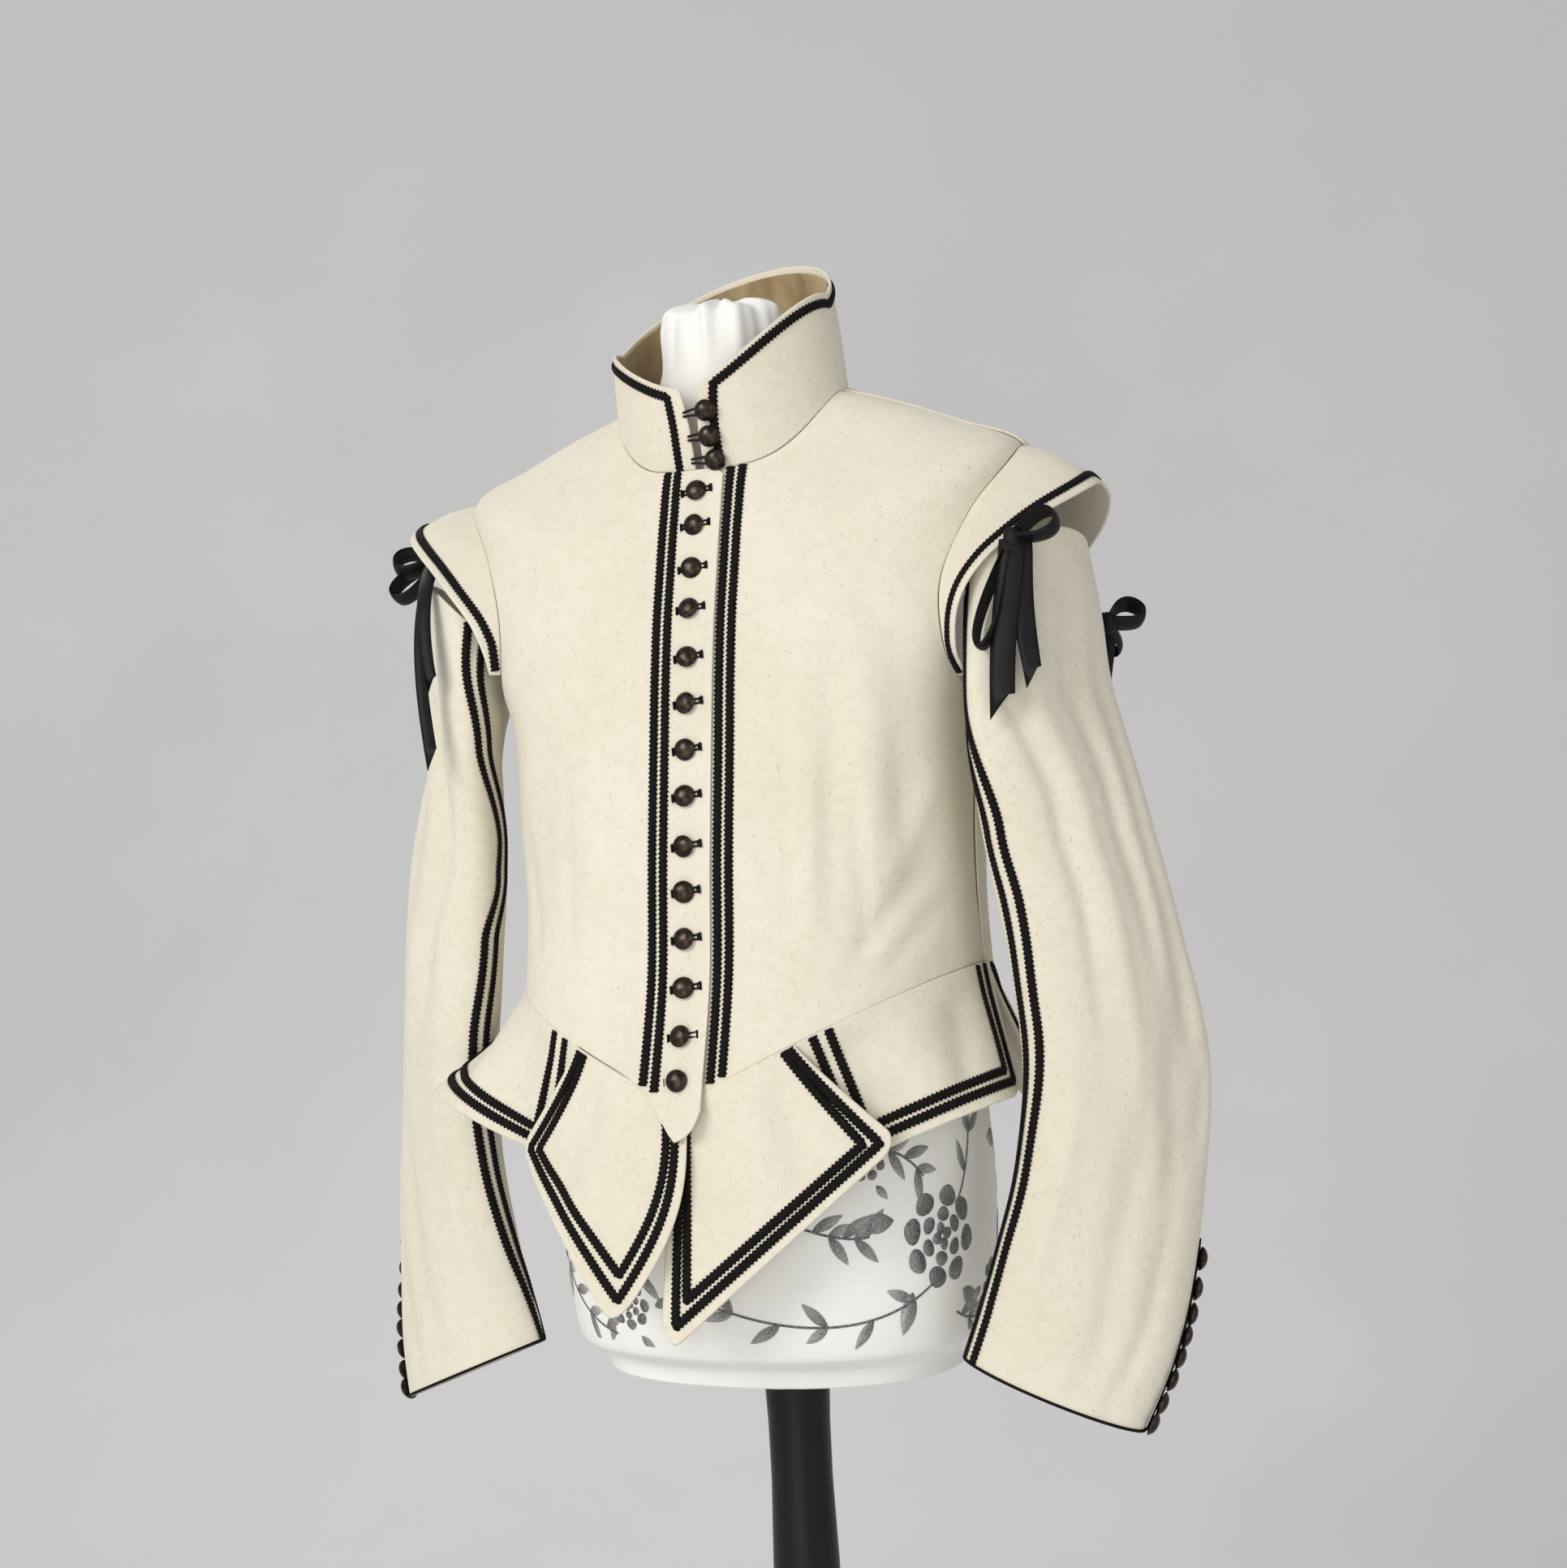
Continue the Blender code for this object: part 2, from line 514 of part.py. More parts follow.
def make_fronts():
    """Both fronts with their bands of paired braid."""
    steps = (0.002, 0.02)
    rest = [BAND_END + share for share in (0.08, 0.18, 0.29, 0.40, 0.51, 0.62, 0.73, 0.84, 0.93, 1.0)]
    levels = list(FRONT_LEVELS)

    right_us = [-LAP_EDGE, -0.006, 0.006, RIGHT_PAIR, RIGHT_PAIR + PAIR_WIDTH] + rest
    right_levels = [-1.0, -0.55] + levels

    def right_surface(u, level):
        rounded = 1 - 0.75 * smooth_step(-0.004, RIGHT_PAIR + PAIR_WIDTH, u)
        point = front_point(-1, u, level * rounded if level < 0 else level)
        if level > 9.9:
            point.z -= 0.006 * smooth_step(-0.006, -LAP_EDGE, u) * smooth_step(9.9, 10, level)
        return point

    def right_keep(j, i):
        return j >= 2 or i < 4

    cloth("front_right", right_surface, right_us, right_levels, steps, keep=right_keep, flip=True)
    trim("braid_front_right", right_surface, right_us, levels, steps, keep=lambda j, i: i == 3 and j > 0, flip=True)

    def left_surface(u, level):
        return front_point(1, u, level)

    left_us = [UNDER_EDGE, 0.006, LEFT_PAIR, LEFT_PAIR + PAIR_WIDTH] + rest
    cloth("front_left", left_surface, left_us, levels, steps)
    trim("braid_front_left", left_surface, left_us, levels, steps, keep=lambda j, i: i == 2 and j > 0)


def make_back():
    """The back, from side seam to side seam, up to the shoulders and the neck."""
    us = [-1, -0.9, -0.78, -0.64, -0.48, -0.32, -0.16, 0, 0.16, 0.32, 0.48, 0.64, 0.78, 0.9, 1]
    cloth("back", back_point, us, BACK_LEVELS, (0.01, 0.02))


def make_collar():
    """The standing collar, its lining and its row of braid."""
    turns = [0, 6, 9.5] + even(14, 346, 20) + [350.5, 354, 360]
    levels = [0, 0.5, 1.0, 1.5, 1.84, 2.0]
    braid_cells = {(j, i) for j in range(5) for i in (1, len(turns) - 3)} | {(3, i) for i in range(1, len(turns) - 2)}
    cloth("collar", collar_point, turns, levels, (1.0, 0.02))
    trim("braid_collar", collar_point, turns, levels, (1.0, 0.02), keep=lambda j, i: (j, i) in braid_cells)
    cloth("collar_lining", collar_point, turns[1:-1], levels[:-1], (1.0, 0.02), "lining",
          outer=-WALL - SEAM, wall=LINING_WALL)


def make_wings():
    """The two shoulder wings with their braid."""
    outs = [0, 0.38, 0.76, 0.92, 1.0]
    for side, word in ((1, "left"), (-1, "right")):
        foot = WING_FOOT[side]
        reach = 2 * (SHOULDER - foot)
        alongs = [0] + [(level - foot) / reach for level in FRONT_LEVELS if foot < level <= SHOULDER]
        alongs += [1 - (level - foot) / reach for level in reversed(BACK_LEVELS) if foot < level < SHOULDER] + [1]

        def surface(along, out, side=side):
            return wing_point(side, along, out)
        cloth(f"wing_{word}", surface, alongs, outs, (0.01, 0.02), flip=side > 0)
        trim(f"braid_wing_{word}", surface, alongs, outs, (0.01, 0.02), flip=side > 0, keep=lambda j, i: j == 2)


def make_sleeves():
    """Two-panel sleeves, with a row of braid on each side of the front seam."""
    places = even(0, 9, 13)
    edge = math.degrees(SEAM / 2 / 0.03)
    upper = [edge, 5, 13, 34, 58, 80, 102, 124, 146, 163, 180 - edge]
    under = [-turn for turn in upper]
    for side, word in ((1, "left"), (-1, "right")):
        def surface(turn, place, side=side):
            return sleeve_point(side, turn, place)
        flip = side > 0
        cloth(f"sleeve_upper_{word}", surface, upper, places, (1.0, 0.02), flip=flip)
        cloth(f"sleeve_under_{word}", surface, under, places, (1.0, 0.02), flip=flip)
        trim(f"braid_sleeve_upper_{word}", surface, upper, places, (1.0, 0.02), flip=flip,
             keep=lambda j, i: i == 1)
        trim(f"braid_sleeve_under_{word}", surface, under, places, (1.0, 0.02), flip=flip,
             keep=lambda j, i: i == 1)


def make_tabs():
    """Eight skirt tabs, each with one band for its pair of braids round the free edges."""
    columns = [
        (0, 0), (BRAID_MARGIN, 0), (TAB_INNER, 0), (TAB_INNER, 0.33), (TAB_INNER, 0.67), (TAB_INNER, 1),
        (TAB_INNER + PAIR_WIDTH, 1), (2 * TAB_INNER, 1),
    ]
    side_rows = [(0, 0), (0.003, 0), (0, 0.34), (0, 0.68), (0, 1), (PAIR_WIDTH, 1), (TAB_INNER, 1)]
    front_rows = side_rows[:2] + [(TONGUE_LENGTH, 0)] + side_rows[2:]

    def read(entries, place):
        low = min(max(int(math.floor(place)), 0), len(entries) - 2)
        share = place - low
        return tuple(a + (b - a) * share for a, b in zip(entries[low], entries[low + 1]))

    for tab in TABS:
        rows = front_rows if tab.startswith("tab_front") else side_rows
        turn_row = len(rows) - 3

        def surface(i, j, tab=tab, rows=rows):
            return tab_point(tab, read(columns, i), read(rows, j))
        right_hand = TABS[tab][0] > TABS[tab][1]
        us, vs = list(range(len(columns))), list(range(len(rows)))
        cloth(tab, surface, us, vs, (0.05, 0.05), flip=not right_hand)
        first = 2 if rows is front_rows else 1
        cells = {(j, 5) for j in range(1, turn_row)} | {(j, 1) for j in range(first, turn_row)}
        cells |= {(turn_row, i) for i in range(1, 6)}
        trim("braid_" + tab, surface, us, vs, (0.05, 0.05), flip=not right_hand,
             keep=lambda j, i, cells=cells: (j, i) in cells)


def turned(name, profile, segments, finish):
    """A turned solid from heights and radii, by a Screw of its outline."""
    build = bmesh.new()
    outline = [(0, profile[-1][0])] + [(r, z) for z, r in reversed(profile)] + [(0, profile[0][0])]
    verts = [build.verts.new((r, 0, z)) for r, z in outline]
    for a, b in zip(verts, verts[1:]):
        build.edges.new((a, b))
    mesh = bpy.data.meshes.new(name)
    build.to_mesh(mesh)
    build.free()
    piece = add_object(name, mesh, finish)
    screw = piece.modifiers.new("turn", "SCREW")
    screw.steps = screw.render_steps = segments
    screw.use_merge_vertices = True
    screw.merge_threshold = 0.0001
    return piece


def button_profile(radius, height):
    """Heights and radii of a domed button, underside first."""
    return [
        (0.0, 0.25 * radius), (0.35 * height, radius), (0.65 * height, 0.84 * radius), (0.93 * height, 0.42 * radius),
    ]


def place_on(piece, point, normal, lift):
    """Stand a turned piece on a surface."""
    piece.location = point + normal * lift
    piece.rotation_euler = normal.to_track_quat("Z", "Y").to_euler()


def make_buttons():
    """Fourteen buttons down the front and three on the collar."""
    for number, height in enumerate(BUTTON_HEIGHTS):
        level = level_of_height(height)
        normal = -surface_normal(lambda u, v: front_point(-1, u, v), 0, level, 0.002, 0.02)
        button = turned(f"button_{number + 1:02d}", button_profile(BUTTON_RADIUS, BUTTON_HEIGHT), 8, "button_metal")
        place_on(button, front_point(-1, 0, level), normal, SEAM * (1.5 + 1.2 * max(0, number - 10)))
    for number, (turn, level) in enumerate(COLLAR_BUTTON_PLACES):
        normal = surface_normal(collar_point, turn, level, 1.0, 0.02)
        name = f"button_collar_{number + 1}"
        button = turned(name, button_profile(COLLAR_BUTTON_RADIUS, BUTTON_HEIGHT), 8, "button_metal")
        place_on(button, collar_point(turn, level), normal, BRAID_WALL + 2.5 * SEAM)


def swept_band(name, path, across, finish):
    """A ribbon of even width along a path of points, closed at both ends."""
    half = across.normalized() * RIBBON_WIDTH / 2
    rows = ([], [])
    for i, point in enumerate(path):
        way = path[min(i + 1, len(path) - 1)] - path[max(i - 1, 0)]
        normal = way.cross(half).normalized() * RIBBON_WALL / 2
        rows[0].append([point + half + normal, point - half + normal])
        rows[1].append([point + half - normal, point - half - normal])
    return add_object(name, wall_mesh(name, rows), finish)


def unite(piece, others):
    """Join pieces into one body; the joined ones stay behind as hidden cutters."""
    for other in others:
        joined = piece.modifiers.new("join", "BOOLEAN")
        joined.operation = "UNION"
        joined.solver = "EXACT"
        joined.object = other
        other.hide_render = True
        other.display_type = "WIRE"


def make_bows():
    """Ribbon bows: a knot with its loops and tails in one body."""
    for name, bow in BOWS.items():
        knot_at = Vector(bow["knot"])
        knot = turned(name, button_profile(KNOT_RADIUS, 2 * KNOT_RADIUS), 8, "ribbon")
        knot.location = knot_at - Vector((0, 0, KNOT_RADIUS))
        others = []
        for number, (end, swing) in enumerate(bow["loops"]):
            reach = Vector(end) - knot_at
            across = Vector((0.25, -0.9, 0.35)).cross(reach).cross(reach)
            side_way = reach.cross(across).normalized() * swing
            path = []
            for i in range(10):
                turn = math.pi * (0.04 + 0.92 * i / 9)
                path.append(knot_at + reach * math.sin(turn) + side_way * math.sin(2 * turn) * 0.6)
            others.append(swept_band(f"{name}_loop_{number + 1}", path, across, "ribbon"))
        for number, end in enumerate(bow["tails"]):
            reach = Vector(end) - knot_at
            middle = knot_at + Vector((reach.x * 0.45, reach.y * 0.92, reach.z * 0.12))
            path = [knot_at.lerp(middle, t).lerp(middle.lerp(Vector(end), t), t) for t in even(0.04, 1, 5)]
            across = Vector((1, 0.15, 0))
            others.append(swept_band(f"{name}_tail_{number + 1}", path, across, "ribbon"))
        unite(knot, others)


def make_sleeve_buttons():
    """The braid up each back seam with its buttons, joined in one body because the part is full of nodes."""
    for side, word in ((1, "left"), (-1, "right")):
        def surface(turn, place, side=side):
            return sleeve_point(side, turn, place)
        low = SLEEVE_ROW_START - SLEEVE_ROW_STEP * (SLEEVE_BUTTONS - 0.4)
        places = even(low, 8.98, 8)
        row = cloth(f"sleeve_buttons_{word}", surface, [172, 180, 188], places, (1.0, 0.02), "braid",
                    side > 0, SEAM + 0.0016, 0.0016)
        others = []
        for number in range(SLEEVE_BUTTONS):
            place = SLEEVE_ROW_START - SLEEVE_ROW_STEP * number
            normal = surface_normal(surface, 180, place, 1.0, 0.02) * (-1 if side > 0 else 1)
            profile = button_profile(SLEEVE_BUTTON_RADIUS, BUTTON_HEIGHT)
            dome = turned(f"sleeve_button_{word}_{number + 1}", profile, 6, "button_metal")
            place_on(dome, surface(180, place), normal, 0.0010)
            others.append(dome)
        unite(row, others)


def level_of_height(height):
    """Level whose front height is the given one."""
    low, high = 0.0, float(NECK)
    for _ in range(40):
        middle = (low + high) / 2
        if ring_at(BODY_RINGS, middle)["front_z"] < height:
            low = middle
        else:
            high = middle
    return low


def form_ring(level):
    """Ring of the dress form inside the doublet; it touches the cloth only at the shoulders."""
    ring = ring_at(BODY_RINGS, level)
    snug = smooth_step(SHOULDER - 0.2, SHOULDER + 1.0, level)
    ease = WALL + FORM_EASE * (1 - snug) + 2 * SEAM
    ring["half_width"] -= ease
    ring["front_y"] += ease
    ring["back_y"] -= ease
    for column in ("side_z", "front_z", "back_z"):
        ring[column] -= ease * snug * 1.15
    if ring["half_width"] > FORM_ARM_X:
        ring["half_width"] = FORM_ARM_X
    return ring


def make_form():
    """The padded torso: hips, the part inside the doublet and the neck stub, closed at both ends."""
    turns = even(0, 360, 24)[:-1]
    rings = [[ring_point(ring_at(HIP_RINGS, i), turn) for turn in turns] for i in range(len(HIP_RINGS))]
    for level in FORM_LEVELS:
        ring = form_ring(level)
        rings.append([ring_point(ring, turn) for turn in turns])
    rings += [[ring_point(ring_at(NECK_RINGS, i), turn) for turn in turns] for i in range(len(NECK_RINGS))]
    build = bmesh.new()
    loops = [[build.verts.new(point) for point in ring] for ring in rings]
    for low, high in zip(loops, loops[1:]):
        for i in range(len(turns)):
            k = (i + 1) % len(turns)
            build.faces.new((low[i], low[k], high[k]))
            build.faces.new((low[i], high[k], high[i]))
    for loop in (loops[0], loops[-1]):
        middle = build.verts.new(sum((vert.co for vert in loop), Vector()) / len(loop))
        for i in range(len(loop)):
            build.faces.new((loop[i], loop[(i + 1) % len(loop)], middle))
    bmesh.ops.recalc_face_normals(build, faces=build.faces)
    mesh = bpy.data.meshes.new("dress_form")
    build.to_mesh(mesh)
    build.free()
    add_object("dress_form", mesh, "form_cloth")


make_fronts()
make_back()
make_collar()
make_wings()
make_sleeves()
make_tabs()
make_buttons()
make_sleeve_buttons()
make_bows()
make_form()
turned("stand", STAND_PROFILE, 24, "stand_paint")
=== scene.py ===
"""Doublet on a dress form, dressed: cloth, braid, buttons, ribbons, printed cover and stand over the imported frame."""
import math
import bpy
import numpy as np
from mathutils import Matrix, Vector, noise


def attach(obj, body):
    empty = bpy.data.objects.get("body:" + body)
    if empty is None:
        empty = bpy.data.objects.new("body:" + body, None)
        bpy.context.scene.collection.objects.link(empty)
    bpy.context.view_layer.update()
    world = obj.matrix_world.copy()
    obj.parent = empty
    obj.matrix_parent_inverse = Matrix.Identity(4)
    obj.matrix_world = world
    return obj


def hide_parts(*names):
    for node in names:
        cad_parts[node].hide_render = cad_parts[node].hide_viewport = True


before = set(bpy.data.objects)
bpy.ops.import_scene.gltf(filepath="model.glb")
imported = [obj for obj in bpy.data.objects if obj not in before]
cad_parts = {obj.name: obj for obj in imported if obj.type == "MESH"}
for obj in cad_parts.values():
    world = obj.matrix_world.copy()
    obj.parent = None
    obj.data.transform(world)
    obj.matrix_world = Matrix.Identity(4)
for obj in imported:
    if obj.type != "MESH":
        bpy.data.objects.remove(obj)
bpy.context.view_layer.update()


# Cloth and trim
WALL = 0.0020
SEAM = 0.0003
LINING_WALL = 0.0010
BRAID_WALL = 0.0012
BRAID_WIDTH = 0.0060
BRAID_GAP = 0.0020
BRAID_MARGIN = 0.0060
PAIR_WIDTH = 2 * BRAID_WIDTH + BRAID_GAP

# Centre front: the right front laps over the left one, x measured from the button line
LAP_EDGE = 0.0180
UNDER_EDGE = -0.0060
RIGHT_PAIR = 0.0125
LEFT_PAIR = 0.0195
BAND_END = 0.0400
LAP_LIFTED = 0.0280
LAP_LEVEL = 0.9
TONGUE_LENGTH = 0.0230

# Buttons
BUTTON_RADIUS = 0.0088
BUTTON_HEIGHT = 0.0060
BUTTON_HEIGHTS = (
    1.377, 1.353, 1.323, 1.295, 1.262, 1.231, 1.200, 1.169, 1.136, 1.106, 1.075, 1.043, 1.012, 0.984,
)
COLLAR_BUTTON_RADIUS = 0.0074
COLLAR_BUTTON_PLACES = ((4.4, 1.36), (5.2, 0.83), (6.4, 0.29))
SLEEVE_BUTTON_RADIUS = 0.0080

# Rings of the doublet's outer surface, from the waist seam up to the neck seam.
# cut_front and cut_back say how far round each panel goes, as a share of the half width: 1 is the side.
RING_COLUMNS = (
    "side_z", "front_z", "back_z", "half_width", "side_y", "front_y", "back_y",
    "square", "dip", "cut_front", "cut_back",
)
BODY_RINGS = (
    (1.047, 0.968, 1.036, 0.1650, -0.028, -0.1760, 0.083, 2.20, 0.95, 1.00, 1.00),
    (1.100, 1.045, 1.092, 0.1640, -0.032, -0.1560, 0.078, 2.25, 1.30, 1.00, 1.00),
    (1.160, 1.125, 1.156, 0.1660, -0.033, -0.1460, 0.086, 2.35, 1.80, 1.00, 1.00),
    (1.222, 1.200, 1.222, 0.1720, -0.026, -0.1340, 0.099, 2.45, 2.20, 1.00, 1.00),
    (1.264, 1.245, 1.270, 0.1840, -0.020, -0.1270, 0.106, 2.60, 2.40, 0.90, 0.90),
    (1.312, 1.285, 1.320, 0.1900, -0.016, -0.1190, 0.107, 2.60, 2.60, 0.87, 0.87),
    (1.358, 1.318, 1.364, 0.1980, -0.012, -0.1100, 0.102, 2.50, 2.80, 0.92, 0.91),
    (1.397, 1.347, 1.402, 0.2070, -0.010, -0.1020, 0.090, 2.40, 3.00, 1.00, 1.00),
    (1.417, 1.364, 1.422, 0.1650, -0.015, -0.0970, 0.076, 2.25, 3.20, 1.00, 1.00),
    (1.433, 1.379, 1.441, 0.1250, -0.021, -0.0930, 0.062, 2.10, 3.40, 1.00, 1.00),
    (1.446, 1.392, 1.459, 0.0845, -0.025, -0.0890, 0.043, 2.00, 3.50, 1.00, 1.00),
)
UNDERARM = 3
SHOULDER = 7
FRONT_LEVELS = (
    0, 0.08, 0.5, 0.9, 1.35, 1.8, 2.3, 2.7, 3, 3.35, 3.7, 4.1, 4.6, 5.1, 5.6, 6.1, 6.6, 7, 7.6, 8.3, 9.1, 10,
)
BACK_LEVELS = (0, 0.8, 1.6, 2.3, 3, 3.35, 3.8, 4.1, 4.5, 5.1, 5.8, 6.5, 7, 7.8, 8.8, 10)
NECK = 10

# The collar starts on the neck seam and leans forward; its rim rises from the throat to the nape
COLLAR_RINGS = (
    (1.4468, 1.3928, 1.4600, 0.0845, -0.025, -0.0890, 0.043, 2.00, 3.50, 1.00, 1.00),
    (1.4730, 1.4180, 1.5020, 0.0830, -0.031, -0.0960, 0.037, 2.00, 2.20, 1.00, 1.00),
    (1.5000, 1.4460, 1.5480, 0.0800, -0.037, -0.1020, 0.028, 2.00, 1.50, 1.00, 1.00),
)
COLLAR_TILT = 0.15
COLLAR_TURN_MOUTH = 2.5
COLLAR_TURN_RIM = 6.0

# Soft folds of the fronts, as lines on a panel seen from the front: a trough is a negative depth
FOLD_COLUMNS = ("side", "x_top", "z_top", "x_low", "z_low", "width", "depth")
FOLDS = (
    (1, 0.100, 1.265, 0.098, 1.075, 0.011, -0.0034),
    (1, 0.118, 1.285, 0.124, 1.085, 0.013, 0.0036),
    (1, 0.138, 1.215, 0.146, 1.075, 0.010, -0.0030),
    (1, 0.056, 1.225, 0.062, 1.080, 0.014, -0.0022),
    (-1, 0.120, 1.230, 0.118, 1.090, 0.016, -0.0026),
    (-1, 0.074, 1.180, 0.070, 1.060, 0.018, 0.0018),
)

# Sleeves, from the head under the wing down to the cuff, as on the wearer's left side.
# slope lifts the back seam, cap lifts the outer side, both as height for each metre across.
SLEEVE_COLUMNS = ("x", "y", "z", "half_width", "half_depth", "yaw", "slope", "cap")
SLEEVE_ROWS = (
    (0.2120, -0.031, 1.308, 0.0600, 0.0300, 72, 0.00, 0.90),
    (0.2152, -0.035, 1.266, 0.0630, 0.0300, 66, 0.05, 0.50),
    (0.2198, -0.042, 1.214, 0.0640, 0.0270, 60, 0.10, 0.15),
    (0.2320, -0.039, 1.135, 0.0610, 0.0320, 45, 0.14, 0.00),
    (0.2455, -0.033, 1.055, 0.0625, 0.0320, 41, 0.09, 0.00),
    (0.2550, -0.031, 0.975, 0.0680, 0.0310, 42, -0.02, 0.00),
    (0.2500, -0.043, 0.905, 0.0650, 0.0300, 35, -0.14, 0.00),
    (0.2390, -0.057, 0.845, 0.0635, 0.0285, 25, -0.26, 0.00),
    (0.2280, -0.070, 0.805, 0.0610, 0.0265, 15, -0.34, 0.00),
    (0.2140, -0.083, 0.7685, 0.0575, 0.0240, 6, -0.40, 0.00),
)

# Where each sleeve's front seam runs: place of the sleeve, then degrees off the middle of its front
SEAM_SWING = {
    1: ((0, -28), (1.7, -28), (2.9, 14), (3.5, 20), (4.5, 16), (5.7, 9), (6.6, 10), (9, 20)),
    -1: ((0, -20), (0.9, -12), (1.9, -28), (2.7, -43), (3.1, -34), (3.7, -12), (4.6, -2), (6.6, -1), (9, -11)),
}

# Shoulder wings: places along the armhole from its front foot, and how far the free edge stands off it
WING_FOOT = {1: 3.45, -1: 4.1}
WING_DROP = {1: 0.017, -1: 0.0}
WING_COLUMNS = ("along", "out_x", "out_y", "out_z")
WING_ROWS = (
    (0.00, 0.006, -0.004, 0.000),
    (0.14, 0.014, -0.013, -0.002),
    (0.28, 0.031, -0.017, -0.005),
    (0.40, 0.046, -0.012, -0.010),
    (0.50, 0.054, -0.004, -0.016),
    (0.60, 0.050, 0.008, -0.020),
    (0.74, 0.034, 0.012, -0.016),
    (0.88, 0.014, 0.008, -0.006),
    (1.00, 0.006, 0.004, 0.000),
)

# Skirt tabs, as turns round the waist seam from the centre front and as the places of their lower corners.
# lifts raise the top edge over the neighbour, curl bends the drop outwards, bow swings the front edge.
TAB_COLUMNS = (
    "turn_front", "turn_back", "front_x", "front_y", "front_z", "back_x", "back_y", "back_z",
    "lift_front", "lift_back", "curl", "bow",
)
TABS = {
    "tab_front_left": (-1.2, 25.5, -0.012, -0.196, 0.8140, 0.142, -0.152, 0.9420, 0.0000, 0.0026, 1.1, 0.000),
    "tab_front_right": (1.0, -26.0, -0.036, -0.212, 0.8330, -0.131, -0.152, 0.9380, 0.0026, 0.0026, 1.1, 0.018),
    "tab_side_left": (25.6, 92.0, 0.100, -0.137, 0.9240, 0.196, -0.058, 0.9600, 0.0000, 0.0026, 1.1, 0.000),
    "tab_side_right": (-26.1, -99.0, -0.102, -0.138, 0.9220, -0.2178, -0.1066, 0.9760, 0.0000, 0.0026, 1.6, 0.000),
    "tab_rear_left": (92.05, 139.0, 0.196, 0.010, 0.9420, 0.150, 0.106, 0.9360, 0.0000, 0.0023, 1.2, 0.000),
    "tab_rear_right": (-99.05, -139.0, -0.196, 0.010, 0.9420, -0.150, 0.106, 0.9360, 0.0000, 0.0023, 1.2, 0.000),
    "tab_back_left": (139.05, 179.0, 0.122, 0.094, 0.9300, 0.004, 0.126, 0.9280, 0.0000, 0.0026, 1.2, 0.000),
    "tab_back_right": (-139.05, -180.8, -0.122, 0.094, 0.9300, 0.012, 0.112, 0.9280, 0.0000, 0.0000, 1.2, 0.000),
}
TAB_INNER = BRAID_MARGIN + PAIR_WIDTH
CORNER_ROUND = 0.55

# Ribbon bows: knot place, then each loop and tail as its far end and how far it swings out of the straight
RIBBON_WIDTH = 0.0150
RIBBON_WALL = 0.0012
KNOT_RADIUS = 0.0085
BOWS = {
    "bow_left_front": {
        "knot": (0.2196, -0.0904, 1.3250),
        "loops": (((0.2485, -0.0878, 1.3370), 0.016), ((0.1980, -0.1058, 1.2550), 0.010)),
        "tails": ((0.2123, -0.1038, 1.2180), (0.2311, -0.0978, 1.2350)),
    },
    "bow_left_back": {
        "knot": (0.2502, 0.0252, 1.2740),
        "loops": (((0.2686, 0.0442, 1.2830), 0.017), ((0.2462, 0.0562, 1.2560), 0.010)),
        "tails": ((0.2422, 0.0442, 1.2200),),
    },
    "bow_right": {
        "knot": (-0.2374, -0.0340, 1.3565),
        "loops": (((-0.2707, -0.0440, 1.3540), 0.016), ((-0.2690, -0.0500, 1.3290), 0.015)),
        "tails": ((-0.2054, -0.1100, 1.2580), (-0.2031, -0.1200, 1.2050)),
    },
}

# Buttons up the back seam of each sleeve, as sleeve places from the cuff up
SLEEVE_BUTTONS = 8
SLEEVE_ROW_START = 8.80
SLEEVE_ROW_STEP = 0.30

# Dress form: how far it stays inside the doublet, and its own rings below the waist
FORM_EASE = 0.0060
FORM_ARM_X = 0.1600
HIP_RINGS = (
    (0.7690, 0.7690, 0.7690, 0.1290, -0.016, -0.1080, 0.078, 2.20, 2.0, 1.0, 1.0),
    (0.7810, 0.7810, 0.7810, 0.1330, -0.016, -0.1120, 0.082, 2.20, 2.0, 1.0, 1.0),
    (0.7880, 0.7880, 0.7880, 0.1420, -0.016, -0.1240, 0.090, 2.20, 2.0, 1.0, 1.0),
    (0.7980, 0.7980, 0.7980, 0.1490, -0.016, -0.1330, 0.098, 2.20, 2.0, 1.0, 1.0),
    (0.8400, 0.8400, 0.8400, 0.1540, -0.016, -0.1400, 0.104, 2.20, 2.0, 1.0, 1.0),
    (0.9000, 0.9000, 0.9000, 0.1560, -0.018, -0.1430, 0.102, 2.20, 2.0, 1.0, 1.0),
    (0.9700, 0.9600, 0.9700, 0.1540, -0.022, -0.1400, 0.088, 2.20, 2.0, 1.0, 1.0),
)
FORM_LEVELS = (0.2, 0.9, 1.6, 2.3, 3, 3.7, 4.4, 5.2, 6, 6.6, 7.1, 7.6, 8.2, 8.8)
NECK_RINGS = (
    (1.4380, 1.3830, 1.4540, 0.0720, -0.028, -0.0760, 0.028, 2.00, 3.5, 1.0, 1.0),
    (1.4490, 1.4060, 1.4680, 0.0590, -0.030, -0.0730, 0.018, 2.00, 3.0, 1.0, 1.0),
    (1.4760, 1.4580, 1.4840, 0.0460, -0.031, -0.0740, 0.014, 2.00, 2.0, 1.0, 1.0),
    (1.5020, 1.5000, 1.5040, 0.0425, -0.032, -0.0760, 0.012, 2.00, 2.0, 1.0, 1.0),
    (1.5110, 1.5100, 1.5120, 0.0350, -0.032, -0.0680, 0.004, 2.00, 2.0, 1.0, 1.0),
    (1.5150, 1.5150, 1.5150, 0.0180, -0.032, -0.0500, -0.014, 2.00, 2.0, 1.0, 1.0),
)

